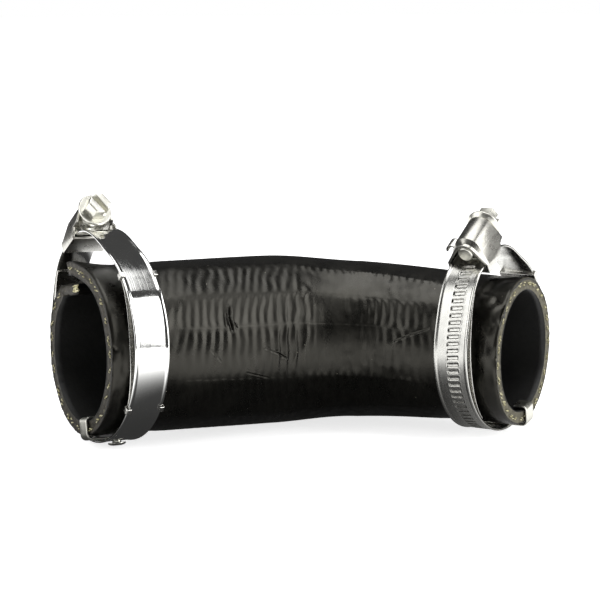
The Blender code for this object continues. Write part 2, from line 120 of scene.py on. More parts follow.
def centre_line(along):
    # Place and heading of the centre line, for distances from the wide end
    half = BEND_ANGLE / 2
    heading = half - np.clip((along - LEFT_STRAIGHT) / BEND_RADIUS, 0.0, BEND_ANGLE)
    first = np.minimum(along, LEFT_STRAIGHT)
    last = np.maximum(along - LEFT_STRAIGHT - BEND_LENGTH, 0.0)
    x = math.cos(half) * first + (math.sin(half) - np.sin(heading)) * BEND_RADIUS
    y = math.sin(half) * first + (np.cos(heading) - math.cos(half)) * BEND_RADIUS
    return x + np.cos(heading) * last, y + np.sin(heading) * last, heading


def skin_radius(along):
    belly = LEFT_RADIUS + BELLY_SWELL * ease((along - CUFF_LENGTH) / (REDUCER_START - CUFF_LENGTH))
    draft = (CUFF_START - along) / (CUFF_START - REDUCER_START - REDUCER_LENGTH)
    waist = RIGHT_RADIUS + WAIST_SWELL * np.clip(draft, 0.0, 1.0)
    return belly + (waist - belly) * ease((along - REDUCER_START) / REDUCER_LENGTH)


def wall_thickness(along):
    return LEFT_WALL + (RIGHT_WALL - LEFT_WALL) * ease((along - REDUCER_START) / REDUCER_LENGTH)


def to_room(points, axes):
    # Points in a piece's own axes, as rows of an array, to the room's axes
    turn = np.array(axes.to_3x3())
    return points @ turn.T + np.array(axes.translation)


def hose_points(along, around, radius):
    # The angle round the hose is 0 on the outside of the bend, 90 degrees on top, 180 in front
    x, y, heading = centre_line(along)
    out = np.cos(around) * radius
    points = np.stack([x - np.sin(heading) * out, y + np.cos(heading) * out,
                       np.sin(around) * radius], -1)
    return to_room(points, HOSE_AXES)


print("hose length in millimetres:", round(HOSE_LENGTH / MM, 1))

# %% [markdown]
# ## Helpers for meshes
# Every new piece is a grid of points that has been bent into shape, so one helper turns such a
# grid into faces. Another writes a number or a place on each point, which the materials read
# later. The last one gives gentle random heights. Its random table has a fixed seed, so the
# hose comes out the same each time.

# %% Mesh helpers
def link(name, mesh, body=BODY):
    piece = bpy.data.objects.new(name, mesh)
    bpy.context.collection.objects.link(piece)
    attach(piece, body)
    return piece


def write_attribute(mesh, name, values):
    kind = "FLOAT_VECTOR" if np.ndim(values) == 2 else "FLOAT"
    made = mesh.attributes.new(name, kind, "POINT")
    field = "vector" if kind == "FLOAT_VECTOR" else "value"
    made.data.foreach_set(field, np.asarray(values, dtype=np.float32).ravel())


def grid_faces(rows, columns, close_rows, close_columns):
    row = np.arange(rows if close_rows else rows - 1)
    column = np.arange(columns if close_columns else columns - 1)
    r, c = np.meshgrid(row, column, indexing="ij")
    r2, c2 = (r + 1) % rows, (c + 1) % columns
    faces = np.stack([r * columns + c, r * columns + c2, r2 * columns + c2, r2 * columns + c], -1)
    return faces.reshape(-1, 4)


def mesh_from(name, points, faces, materials, slots=None):
    mesh = bpy.data.meshes.new(name)
    mesh.from_pydata(points.tolist(), [], faces if isinstance(faces, list) else faces.tolist())
    for material in materials:
        mesh.materials.append(material)
    if slots is not None:
        mesh.polygons.foreach_set("material_index", slots)
    shape = bmesh.new()
    shape.from_mesh(mesh)
    bmesh.ops.recalc_face_normals(shape, faces=shape.faces)
    shape.to_mesh(mesh)
    shape.free()
    mesh.shade_smooth()
    return mesh


def soft_noise(u, v, turns, seed):
    # Smooth random heights from 0 to 1. u is counted in cells; v runs once round, over turns cells
    rng = np.random.default_rng(seed)
    low = int(np.floor(u.min()))
    table = rng.random((int(np.ceil(u.max())) - low + 2, turns))
    row = np.floor(u).astype(int)
    fine_row = ease(u - row)
    column = np.floor(v * turns).astype(int)
    fine_column = ease(v * turns - column)
    row -= low
    a = table[row, column % turns]
    b = table[row, (column + 1) % turns]
    c = table[row + 1, column % turns]
    d = table[row + 1, (column + 1) % turns]
    near = a + (b - a) * fine_column
    return near + (c + (d - c) * fine_column - near) * fine_row


# %% [markdown]
# ## Shared effects
# Several finishes need the same few things: the cloudy film that hands leave, the drawn lines
# of rolled steel, dust, and edges that have been rubbed. Each is a node group that is built
# once. A group only puts out masks and heights, and each material decides what to do with them.

# %% Group helpers
def new_group(name, inputs, outputs):
    tree = bpy.data.node_groups.new(name, "ShaderNodeTree")
    for kind, label, value in inputs:
        socket = tree.interface.new_socket(label, in_out="INPUT", socket_type=kind)
        if value is not None:
            socket.default_value = value
    for label in outputs:
        tree.interface.new_socket(label, in_out="OUTPUT", socket_type="NodeSocketFloat")
    return tree, tree.nodes.new("NodeGroupInput"), tree.nodes.new("NodeGroupOutput")


def feed(tree, value, socket):
    # A socket takes a link from another socket, or else a plain number, place or colour
    if isinstance(value, bpy.types.NodeSocket):
        tree.links.new(value, socket)
    else:
        socket.default_value = value


def maths(tree, operation, first, second=None):
    node = tree.nodes.new("ShaderNodeMath")
    node.operation = operation
    feed(tree, first, node.inputs[0])
    if second is not None:
        feed(tree, second, node.inputs[1])
    return node.outputs[0]


def vector_maths(tree, operation, first, second=None, output="Vector"):
    node = tree.nodes.new("ShaderNodeVectorMath")
    node.operation = operation
    feed(tree, first, node.inputs[0])
    if second is not None:
        feed(tree, second, node.inputs[1])
    return node.outputs[output]


def noise(tree, place, scale, detail=2.0, roughness=0.5, distortion=0.0):
    node = tree.nodes.new("ShaderNodeTexNoise")
    tree.links.new(place, node.inputs["Vector"])
    feed(tree, scale, node.inputs["Scale"])
    node.inputs["Detail"].default_value = detail
    node.inputs["Roughness"].default_value = roughness
    node.inputs["Distortion"].default_value = distortion
    return node.outputs["Fac"]


def between(tree, value, low, high):
    # 0 below low, 1 above high, with a soft step between
    node = tree.nodes.new("ShaderNodeMapRange")
    node.interpolation_type = "SMOOTHSTEP"
    tree.links.new(value, node.inputs["Value"])
    feed(tree, low, node.inputs["From Min"])
    feed(tree, high, node.inputs["From Max"])
    return node.outputs["Result"]


# %% [markdown]
# Handling marks are two sizes of cloud laid over each other: broad smears and small blots. The
# sum is stretched so that some places are quite clean and others quite filmed.

# %% Handling marks
BLOT_SCALE = 4.5
SMEAR_SHARE, BLOT_SHARE = 0.7, 0.3
CLEAN_BELOW, FILMED_ABOVE = 0.36, 0.64


def make_handling_marks():
    tree, given, result = new_group("handling_marks", [
        ("NodeSocketVector", "Place", None), ("NodeSocketFloat", "Scale", 0.2)], ["Smear"])
    broad = noise(tree, given.outputs["Place"], given.outputs["Scale"], 3.0, 0.55, 0.6)
    close = maths(tree, "MULTIPLY", given.outputs["Scale"], BLOT_SCALE)
    small = noise(tree, given.outputs["Place"], close, 2.0, 0.5)
    both = maths(tree, "ADD", maths(tree, "MULTIPLY", broad, SMEAR_SHARE),
                 maths(tree, "MULTIPLY", small, BLOT_SHARE))
    tree.links.new(between(tree, both, CLEAN_BELOW, FILMED_ABOVE), result.inputs["Smear"])
    return tree


HANDLING_MARKS = make_handling_marks()


# %% [markdown]
# Rolled strip carries fine lines along the way it was drawn. Noise that is squeezed across the
# lines and stretched along them gives the lines. The same noise, read at another place, gives a
# few longer scratches.

# %% Drawn lines
ELSEWHERE = (31.7, 12.9, 5.3)
SCRATCH_SCALE = 0.55
SCRATCH_FROM, SCRATCH_FULL = 0.68, 0.76


def make_drawn_lines():
    tree, given, result = new_group("drawn_lines", [
        ("NodeSocketVector", "Place", None), ("NodeSocketVector", "Stretch", (6.0, 0.15, 6.0))],
        ["Line", "Scratch"])
    place = vector_maths(tree, "MULTIPLY", given.outputs["Place"], given.outputs["Stretch"])
    line = noise(tree, place, 1.0, 3.0, 0.65)
    tree.links.new(line, result.inputs["Line"])
    far = vector_maths(tree, "ADD", place, ELSEWHERE)
    streak = noise(tree, far, SCRATCH_SCALE, 1.0, 0.5, 0.3)
    tree.links.new(between(tree, streak, SCRATCH_FROM, SCRATCH_FULL), result.inputs["Scratch"])
    return tree


DRAWN_LINES = make_drawn_lines()


# %% [markdown]
# Dust is a scatter of tiny round specks. A cell texture gives one speck to a cell, and a random
# value for each cell leaves most of them out.

# %% Dust
def make_dust():
    tree, given, result = new_group("dust", [
        ("NodeSocketVector", "Place", None), ("NodeSocketFloat", "Scale", 0.8),
        ("NodeSocketFloat", "Size", 0.12), ("NodeSocketFloat", "Share", 0.2)], ["Speck"])
    cells = tree.nodes.new("ShaderNodeTexVoronoi")
    tree.links.new(given.outputs["Place"], cells.inputs["Vector"])
    tree.links.new(given.outputs["Scale"], cells.inputs["Scale"])
    inside = maths(tree, "LESS_THAN", cells.outputs["Distance"], given.outputs["Size"])
    split = tree.nodes.new("ShaderNodeSeparateColor")
    tree.links.new(cells.outputs["Color"], split.inputs[0])
    chosen = maths(tree, "LESS_THAN", split.outputs[0], given.outputs["Share"])
    tree.links.new(maths(tree, "MULTIPLY", inside, chosen), result.inputs["Speck"])
    return tree


DUST = make_dust()


# %% [markdown]
# Rubbed edges come from how sharply the surface turns. A little noise breaks the line up.

# %% Edge wear
WEAR_BREAKS, WEAR_OFFSET = 0.06, 0.03


def make_edge_wear():
    tree, given, result = new_group("edge_wear", [
        ("NodeSocketVector", "Place", None), ("NodeSocketFloat", "Start", 0.52),
        ("NodeSocketFloat", "Full", 0.58)], ["Worn"])
    surface = tree.nodes.new("ShaderNodeNewGeometry")
    broken = maths(tree, "MULTIPLY", noise(tree, given.outputs["Place"], 1.3, 2.0), WEAR_BREAKS)
    turn = maths(tree, "ADD", surface.outputs["Pointiness"], broken)
    turn = maths(tree, "SUBTRACT", turn, WEAR_OFFSET)
    tree.links.new(between(tree, turn, given.outputs["Start"], given.outputs["Full"]),
                   result.inputs["Worn"])
    return tree


EDGE_WEAR = make_edge_wear()
print("shared effects:", [g.name for g in bpy.data.node_groups])

# %% [markdown]
# ## Material helpers
# Each material starts as one Principled shader with its plain values set on its own sockets.
# The pieces carry an attribute called place, which is where a point lies on the piece in
# millimetres, so the scale of every pattern below is a number of cells per millimetre.

# %% Material helpers
def new_material(name, colour, roughness, metallic=0.0, **plain):
    material = bpy.data.materials.new(name)
    material.use_nodes = True
    shader = material.node_tree.nodes["Principled BSDF"]
    shader.inputs["Base Color"].default_value = (*colour, 1.0)
    shader.inputs["Roughness"].default_value = roughness
    shader.inputs["Metallic"].default_value = metallic
    for label, value in plain.items():
        shader.inputs[label.replace("_", " ")].default_value = value
    return material, material.node_tree, shader


def read_attribute(tree, name, output="Vector"):
    node = tree.nodes.new("ShaderNodeAttribute")
    node.attribute_name = name
    return node.outputs[output]


def effect(tree, group, **values):
    node = tree.nodes.new("ShaderNodeGroup")
    node.node_tree = group
    for label, value in values.items():
        feed(tree, value, node.inputs[label])
    return node.outputs


def mixed(tree, factor, first, second):
    # Blends two colours. The sockets are found by number because a Mix node has several called A
    node = tree.nodes.new("ShaderNodeMix")
    node.data_type = "RGBA"
    feed(tree, factor, node.inputs[0])
    for socket, colour in ((node.inputs[6], first), (node.inputs[7], second)):
        feed(tree, (*colour, 1.0) if isinstance(colour, tuple) else colour, socket)
    return node.outputs[2]


def faded(tree, share, mask, first, second):
    # The second colour over the first, only as strongly as share allows
    return mixed(tree, maths(tree, "MULTIPLY", mask, share), first, second)


def bump(tree, shader, height, distance, strength=1.0):
    node = tree.nodes.new("ShaderNodeBump")
    node.inputs["Distance"].default_value = distance
    node.inputs["Strength"].default_value = strength
    tree.links.new(height, node.inputs["Height"])
    tree.links.new(node.outputs["Normal"], shader.inputs["Normal"])


# %% [markdown]
# ## Rubber
# The skin of the hose is black rubber that was cured under wrapped cloth tape, so it is smooth
# and a little shiny. The ripples themselves are real shape in the mesh. The material paints shade
# into the valleys between them, so they are blacker, and the ridges are a touch lighter where they
# are worn. It also adds a fine grain, a cloudy film that dulls the shine, and a few specks of
# dust.
# The attribute called ridge runs from 0 in a valley to 1 on a ridge.

# %% Rubber skin
PAINTED_VALLEY_SHADE, RIDGE_BLACK = (0.0015, 0.0015, 0.0013), (0.003, 0.0029, 0.0025)
FILM_COLOUR, DUST_COLOUR = (0.006, 0.0057, 0.0045), (0.35, 0.33, 0.27)
WARM_SHINE = (1.0, 0.96, 0.84, 1.0)
CLEAN_ROUGHNESS, FILM_ROUGHNESS = 0.26, 0.12
GRAIN_HEIGHT = 0.00003


def roughened(tree, shader, smear, clean, more):
    # The handling film makes a surface rougher
    rough = maths(tree, "ADD", maths(tree, "MULTIPLY", smear, more), clean)
    tree.links.new(rough, shader.inputs["Roughness"])


def make_rubber_skin():
    material, tree, shader = new_material("rubber_skin", (0.003, 0.003, 0.0027), 0.3,
                                          Specular_Tint=WARM_SHINE)
    place = read_attribute(tree, "place")
    ridge = read_attribute(tree, "ridge", "Fac")
    smear = effect(tree, HANDLING_MARKS, Place=place, Scale=0.09)["Smear"]
    speck = effect(tree, DUST, Place=place, Scale=0.35, Size=0.055, Share=0.12)["Speck"]
    # Painted shade darkens the ripple valleys, and wear makes the ridges a touch lighter
    black = mixed(tree, between(tree, ridge, 0.1, 1.0), PAINTED_VALLEY_SHADE, RIDGE_BLACK)
    filmed = faded(tree, 0.5, smear, black, FILM_COLOUR)
    tree.links.new(mixed(tree, speck, filmed, DUST_COLOUR), shader.inputs["Base Color"])
    roughened(tree, shader, smear, CLEAN_ROUGHNESS, FILM_ROUGHNESS)
    bump(tree, shader, noise(tree, place, 1.1, 4.0, 0.6, 0.2), GRAIN_HEIGHT)
    return material


RUBBER_SKIN = make_rubber_skin()


# %% [markdown]
# Inside, the bore is plain smooth rubber. It is seen only as darkness, but it still gets a
# faint grain for anyone who looks down it.

# %% Rubber bore
BORE_DARK, BORE_LIGHT = (0.003, 0.003, 0.0026), (0.006, 0.006, 0.005)


def make_rubber_bore():
    material, tree, shader = new_material("rubber_bore", (0.004, 0.004, 0.0035), 0.6)
    place = read_attribute(tree, "place")
    smear = effect(tree, HANDLING_MARKS, Place=place, Scale=0.12)["Smear"]
    tree.links.new(mixed(tree, smear, BORE_DARK, BORE_LIGHT), shader.inputs["Base Color"])
    bump(tree, shader, noise(tree, place, 0.8, 3.0), 0.0002, 0.5)
    return material


RUBBER_BORE = make_rubber_bore()


# %% [markdown]
# The knife leaves the ends a dull grey brown, with the cut yarns of the reinforcement showing
# as a thin pale line of specks in the middle of the wall. The attribute called wall runs from
# 0 at the outer skin to 1 at the bore, and keeps that line where the ply is.

# %% Cut ends
PLY_WANDER, PLY_FAR, PLY_NEAR = 0.16, 0.09, 0.03
YARN_SHOWS = 0.6
RIM_BLACK = (0.015, 0.015, 0.013)


def make_cut_end(name, dark, light, yarn):
    material, tree, shader = new_material(name, light, 0.62)
    place = read_attribute(tree, "place")
    wall = read_attribute(tree, "wall", "Fac")
    cloud = noise(tree, place, 0.5, 4.0, 0.6)
    rubber = mixed(tree, between(tree, cloud, 0.3, 0.7), dark, light)
    middle = maths(tree, "SUBTRACT", noise(tree, place, 0.12, 1.0), 0.5)
    wander = maths(tree, "MULTIPLY", middle, PLY_WANDER)
    past = maths(tree, "SUBTRACT", maths(tree, "ADD", wall, wander), 0.5)
    ply = between(tree, maths(tree, "ABSOLUTE", past), PLY_FAR, PLY_NEAR)
    patch = between(tree, noise(tree, place, 0.55, 2.0, 0.6), 0.6, 0.66)
    seen = maths(tree, "MULTIPLY", ply, patch)
    rim = maths(tree, "MAXIMUM", between(tree, wall, 0.1, 0.02), between(tree, wall, 0.9, 0.98))
    edged = mixed(tree, rim, rubber, RIM_BLACK)
    tree.links.new(faded(tree, YARN_SHOWS, seen, edged, yarn), shader.inputs["Base Color"])
    bump(tree, shader, noise(tree, place, 1.6, 4.0, 0.7), 0.0004, 0.8)
    return material


# Both ends are the same rubber: the narrow end's cut face and yarn are painted lighter, as painted
# light where the bright box on the right falls
CUT_LEFT = make_cut_end("cut_end_wide", (0.024, 0.021, 0.015), (0.056, 0.049, 0.035),
                        (0.3, 0.28, 0.15))
CUT_RIGHT_PAINTED_LIT = make_cut_end("cut_end_narrow_painted_lit", (0.075, 0.068, 0.042), (0.15, 0.136, 0.09),
                         (0.42, 0.4, 0.22))
print("rubber materials:", RUBBER_SKIN.name, RUBBER_BORE.name, CUT_LEFT.name, CUT_RIGHT_PAINTED_LIT.name)

# %% [markdown]
# ## Steel
# There are five finishes on the clamps. The left band is polished like a mirror and the right one
# is satin. The housings are pressed from grey strip that shows its drawing lines. The screws,
# rivets and end clips are zinc plated and a little milky, and the thin leaves inside the bands
# are spring steel. All five share one recipe with different numbers: the colour and a tint for
# its lines, the roughness and what the film adds, how far the lines are stretched, how deep
# they are, and the colour of worn edges.

# %% Steel finishes
LINE_TINT, SCRATCH_TINT, WORN_TINT, SLOT_SHADE_SHARE = 0.8, 0.35, 0.6, 0.9
SCRATCH_ROUGHNESS = 0.08
# On a slotted strip the third number of place is how deep a point lies, in millimetres, so painted
# shade can darken the walls of the slots and outline each one.
WALL_DEPTHS, SLOT_WALL_SHADE = (0.21, 0.28, 0.44, 0.53), (0.11, 0.105, 0.09)


def make_steel(name, colour, tint, roughness, spread, stretch, line_depth, worn, slotted=False):
    material, tree, shader = new_material(name, colour, roughness, 1.0)
    place = read_attribute(tree, "place")
    smear = effect(tree, HANDLING_MARKS, Place=place, Scale=0.16)["Smear"]
    lines = effect(tree, DRAWN_LINES, Place=place, Stretch=stretch)
    edge = effect(tree, EDGE_WEAR, Place=place)["Worn"]
    base = faded(tree, LINE_TINT, lines["Line"], colour, tint)
    scratched = faded(tree, SCRATCH_TINT, lines["Scratch"], base, worn)
    shown = faded(tree, WORN_TINT, edge, scratched, worn)
    # Painted shade: the walls of the pressed slots are darkened by their depth
    if slotted:
        apart = tree.nodes.new("ShaderNodeSeparateXYZ")
        tree.links.new(place, apart.inputs[0])
        deep = maths(tree, "MULTIPLY", apart.outputs["Z"], -1.0)
        top, wall_top, wall_foot, floor = WALL_DEPTHS
        wall = maths(tree, "SUBTRACT", between(tree, deep, top, wall_top),
                     between(tree, deep, wall_foot, floor))
        shown = faded(tree, SLOT_SHADE_SHARE, wall, shown, SLOT_WALL_SHADE)
    tree.links.new(shown, shader.inputs["Base Color"])
    scratchy = maths(tree, "MULTIPLY", lines["Scratch"], SCRATCH_ROUGHNESS)
    roughened(tree, shader, smear, maths(tree, "ADD", scratchy, roughness), spread)
    bump(tree, shader, lines["Line"], line_depth)
    return material


POLISHED = make_steel("polished_band", (0.86, 0.86, 0.84), (0.8, 0.8, 0.78), 0.06, 0.05,
                      (2.5, 0.03, 2.5), 0.000004, (0.95, 0.95, 0.94))
SATIN = make_steel("satin_band", (0.62, 0.615, 0.585), (0.53, 0.525, 0.49), 0.24, 0.06,
                   (4.0, 0.05, 4.0), 0.000008, (0.85, 0.85, 0.82), slotted=True)
PRESSED = make_steel("pressed_housing", (0.47, 0.46, 0.42), (0.38, 0.37, 0.335), 0.26, 0.06,
                     (2.2, 0.08, 2.2), 0.00001, (0.85, 0.84, 0.8))
PLATED = make_steel("plated_steel", (0.76, 0.75, 0.68), (0.64, 0.63, 0.56), 0.26, 0.12,
                    (1.2, 1.2, 1.2), 0.00002, (0.93, 0.92, 0.88))
SPRUNG = make_steel("spring_steel", (0.62, 0.61, 0.58), (0.48, 0.47, 0.44), 0.2, 0.1,
                    (4.0, 0.1, 4.0), 0.00001, (0.85, 0.84, 0.8))
print("steel finishes:", [m.name for m in (POLISHED, SATIN, PRESSED, PLATED, SPRUNG)])

# %% [markdown]
# ## The hose
# The tape that was wound round the hose before curing pressed it into long flat facets, and
# its weave gathered into ripples across each facet. On the inside of the bend the ripples pile
# up into creases. All of this could be bump, but the ripples show in the hose's outline, so
# the skin is a fine grid and the ripples are cut into it. Most of it goes inwards from the
# packed hose. Only the side that faces us may rise a little, where neither the clamps nor the
# table are in the way.

# %% Facets of the skin
# Each pair is where a facet's border lies, in degrees round the hose, at the wide and narrow end
BORDERS = np.array([(14, 10), (45, 40), (76, 84), (107, 121), (138, 141), (161, 163), (194, 204),
                    (230, 228), (265, 262), (300, 305), (334, 330)], dtype=float)
FACET_PITCH = np.array([2.7, 2.9, 2.8, 3.0, 2.7, 2.75, 2.75, 2.8, 2.7, 2.8, 2.9]) * MM
FACET_SHIFT = np.array([0.0, 0.45, 0.2, 0.7, 0.15, 0.5, 0.85, 0.3, 0.6, 0.1, 0.75])
FACET_FLAT = np.array([0.4, 0.5, 0.5, 0.6, 0.5, 0.35, 0.5, 0.45, 0.5, 0.4, 0.45])
# How strong the ripples are on the wide half and on the narrow half
RIPPLE_WIDE = np.array([0.7, 0.8, 0.6, 0.8, 0.85, 1.0, 0.7, 0.9, 0.8, 0.7, 0.9])
RIPPLE_NARROW = np.array([0.7, 0.5, 0.55, 0.2, 0.8, 0.95, 0.6, 0.8, 0.7, 0.6, 0.6])
BORDER_ROUNDING = 0.16
FLAT_MIDDLE = 0.66
RIPPLE_HEIGHT = 0.17 * MM
# Along two borders of the narrow half the tape's edge left a row of small knots
KNOT_BORDERS, KNOT_PITCH, KNOT_HEIGHT = (3, 6), 2.5 * MM, 0.16 * MM


def facet_of(along, around):
    # Which facet a point is on, and how far across it, from 0 to 1
    share = (along / HOSE_LENGTH)[..., None]
    borders = BORDERS[:, 0] + (BORDERS[:, 1] - BORDERS[:, 0]) * share
    degrees = np.degrees(around)[..., None] % 360.0
    past = (degrees - borders) % 360.0
    index = past.argmin(-1)
    low = np.take_along_axis(past, index[..., None], -1)[..., 0]
    width = (np.roll(borders, -1, -1) - borders) % 360.0
    width = np.take_along_axis(width, index[..., None], -1)[..., 0]
    return index, low / width, np.radians(width)


# %% [markdown]
# Scratches and cuts are lines drawn on the unrolled skin. Each has two ends, a width, a depth
# and the height of the lips that the rubber throws up beside it. A mark is deepest in the
# middle and thins out towards its ends.

# %% Marks on the skin
# Start and end are (millimetres along, degrees round); then width, depth and lip in millimetres
MARKS = [((42.2, 148), (41.4, 155), 0.32, 0.8, 0.3),
         ((41.4, 155), (41.9, 163.5), 0.28, 0.8, 0.3),
         ((40.5, 153), (40.2, 160), 0.25, 0.25, 0.15),
         ((42.7, 159), (43.5, 162), 0.25, 0.2, 0.2),
         ((53.2, 177), (57.6, 181), 0.25, 0.14, 0.1),
         ((57.4, 180.5), (60.8, 184.5), 0.32, 0.45, 0.08),
         ((124.5, 172), (135.5, 160.5), 0.2, 0.45, 0.0),
         ((46.7, 192.5), (55.5, 197.5), 0.18, 0.12, 0.05),
         ((0.0, 171.5), (1.0, 172), 0.7, 0.9, 0.0),
         ((34.0, 176), (37.5, 184), 0.25, 0.15, 0.06),
         ((88.0, 20), (101.0, 33), 0.3, 0.25, 0.06),
         ((30.0, 318), (41.0, 325), 0.25, 0.2, 0.06)]
LIP_AWAY = 1.8


def mark_depth(along, around):
    depth = np.zeros_like(along)
    arc = around * LEFT_RADIUS
    for start, end, width, deep, lip in MARKS:
        a = np.array([start[0] * MM, math.radians(start[1]) * LEFT_RADIUS])
        b = np.array([end[0] * MM, math.radians(end[1]) * LEFT_RADIUS])
        line = b - a
        t = np.clip(((along - a[0]) * line[0] + (arc - a[1]) * line[1]) / line.dot(line), 0.0, 1.0)
        away = np.hypot(along - a[0] - t * line[0], arc - a[1] - t * line[1]) / (width * MM)
        taper = 0.4 + 0.6 * np.sin(np.pi * (0.1 + 0.8 * t))
        depth += (deep * np.exp(-away ** 2) - lip * np.exp(-(away - LIP_AWAY) ** 2)) * taper * MM
    return depth


# %% [markdown]
# The rest of the skin's shape is a sum of simple layers. The ripples are a wave, counted along
# the hose and shaken by slow noise. They grow into creases on the inside of the bend and nearly
# vanish on the smooth patch beyond it.

# %% Ripples
CLAMPED_LEFT, CLAMPED_RIGHT, CLAMPED_FADE = 20 * MM, 22 * MM, 10 * MM
NARROW_FROM, NARROW_FADE = 66 * MM, 14 * MM
CREASE_AT, CREASE_SPREAD = 67 * MM, 9.5 * MM
CALM_FROM, CALM_TO = 77 * MM, 101 * MM


def bump_round(around, centre, spread, power=2):
    # 1 at one angle round the hose, fading to 0 away from it; all in degrees
    return np.exp(-((np.degrees(around) - centre) / spread) ** power)


def ripple_line(along, around):
    # The ripples don't lie square across the hose: all of them stand in planes across its chord
    x, _, heading = centre_line(along)
    return x - np.sin(heading) * np.cos(around) * skin_radius(along)


def unclamped(along):
    # 1 between the clamps, 0 under them and beyond
    return (ease((along - CLAMPED_LEFT) / CLAMPED_FADE)
            * ease((HOSE_LENGTH - CLAMPED_RIGHT - along) / CLAMPED_FADE))


def narrow_half(along):
    return ease((along - NARROW_FROM) / NARROW_FADE)


def calm_patch(along, around):
    return (bump_round(around, 163, 34, 4) * ease((along - CALM_FROM) / (6 * MM))
            * ease((CALM_TO - along) / (9 * MM)))


def facet_depth(along, width, from_border, flatness):
    # A flat facet lies deepest in the middle of its width; its borders are rounded off
    free = unclamped(along)
    rounded = np.where(from_border < BORDER_ROUNDING,
                       BORDER_ROUNDING / 2 + from_border ** 2 / (2 * BORDER_ROUNDING), from_border)
    bowed = 1 - (1 - 2 * rounded) ** 2 - FLAT_MIDDLE * free
    return skin_radius(along) * (1 - np.cos(width / 2)) * bowed * flatness * (0.35 + 0.65 * free)


def ripples(along, around, index, from_border):
    # Where on its wave a point is, from valley to ridge, and how high the wave is there
    turn = around / math.tau
    narrow = narrow_half(along)
    crease = bump_round(around, 163, 34, 4) * np.exp(-((along - CREASE_AT) / CREASE_SPREAD) ** 2)
    wander = (0.7 * soft_noise(along / (15 * MM), turn, 14, 3)
              + 0.3 * soft_noise(along / (5 * MM), turn, 40, 4))
    phase = ripple_line(along, around) / FACET_PITCH[index] + FACET_SHIFT[index] + wander
    ridge = (0.5 - 0.5 * np.cos(math.tau * phase)) ** (0.9 + 1.1 * crease)
    strength = RIPPLE_WIDE[index] * (1 - narrow) + RIPPLE_NARROW[index] * narrow
    strength *= 0.4 + 1.0 * soft_noise(along / (9 * MM), turn, 19, 5)
    strength *= (1 + 0.9 * crease) * (1 - 0.8 * calm_patch(along, around))
    strength *= 0.3 + 0.7 * ease(from_border / 0.14)
    return ridge, RIPPLE_HEIGHT * strength * (0.35 + 0.65 * unclamped(along))


# %% [markdown]
# The other layers belong to places. Near the narrow rim the rubber is crumpled and near the
# wide rim it is ragged, small knots stand in rows along two borders, and low lumps lie
# everywhere. The last function adds all the layers up.

# %% Crumples, knots and lumps
CRUMPLE_DEPTH, CRUMPLE_FROM, CRUMPLE_FADE = 2.0 * MM, 143 * MM, 8 * MM
RAGGED_DEPTH, RAGGED_FROM, RAGGED_FADE = 0.9 * MM, 2 * MM, 5 * MM
LUMP_DEPTH, SWELL_DEPTH = 0.22 * MM, 0.35 * MM
RIM_DEPTH, RIM_WIDTH = 0.5 * MM, 0.9 * MM
RAISED_MOST, LOWEST_GAP = 0.76 * MM, 0.06 * MM


def crumples(along, around):
    turn = around / math.tau
    crumpled = ease((along - CRUMPLE_FROM) / CRUMPLE_FADE) * bump_round(around, 150, 50)
    ragged = (1 - ease((along - RAGGED_FROM) / RAGGED_FADE)) * bump_round(around, 178, 24)
    return (CRUMPLE_DEPTH * crumpled * soft_noise(along / (4.0 * MM), turn, 30, 9) ** 2
            + RAGGED_DEPTH * ragged * soft_noise(along / (2.4 * MM), turn, 56, 19))


def knot_rows(along, around):
    wave = 0.5 + 0.5 * np.cos(math.tau * ripple_line(along, around) / KNOT_PITCH)
    knots = 0.0
    for border in KNOT_BORDERS:
        wide, narrow = BORDERS[border]
        knots = knots + bump_round(around, wide + (narrow - wide) * along / HOSE_LENGTH, 3.0)
    return KNOT_HEIGHT * knots * wave


def unevenness(along, around):
    # Small lumps, a slow swelling of the whole wall, and the rounded rim at both ends
    turn = around / math.tau
    free, narrow = unclamped(along), narrow_half(along)
    lumps = LUMP_DEPTH * (soft_noise(along / (3.2 * MM), turn, 60, 15) - 0.5)
    lumps *= (0.3 + 0.7 * narrow) * free * (1 - calm_patch(along, around))
    swell = SWELL_DEPTH * (soft_noise(along / (22 * MM), turn, 9, 13) - 0.5 * free)
    from_end = np.minimum(along, HOSE_LENGTH - along)
    return lumps + swell + RIM_DEPTH * (1 - ease(from_end / RIM_WIDTH))


def skin_depth(along, around):
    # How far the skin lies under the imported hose, and how much of a ridge the point is on
    index, across, width = facet_of(along, around)
    from_border = np.minimum(across, 1 - across)
    free = unclamped(along)
    ridge, ripple = ripples(along, around, index, from_border)
    depth = facet_depth(along, width, from_border, FACET_FLAT[index])
    depth += ripple * (1 - ridge - 0.5 * free) + crumples(along, around)
    depth += unevenness(along, around) + mark_depth(along, around)
    depth -= knot_rows(along, around) * narrow_half(along) * free
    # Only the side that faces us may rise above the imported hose, which touches the table below
    raised = RAISED_MOST * free * bump_round(around, 165, 72, 4)
    shown = np.maximum(depth, LOWEST_GAP - raised)
    return shown, ridge * np.clip(ripple / RIPPLE_HEIGHT, 0.0, 1.0)


print("facets round the hose:", len(BORDERS), "marks:", len(MARKS))

# %% [markdown]
# The hose is one closed grid. Each column starts at the wide end, runs along the skin, crosses
# the cut wall at the narrow end, comes back along the bore and crosses the wall at the wide
# end. The notch in the wide end is made by letting the columns there start further in.

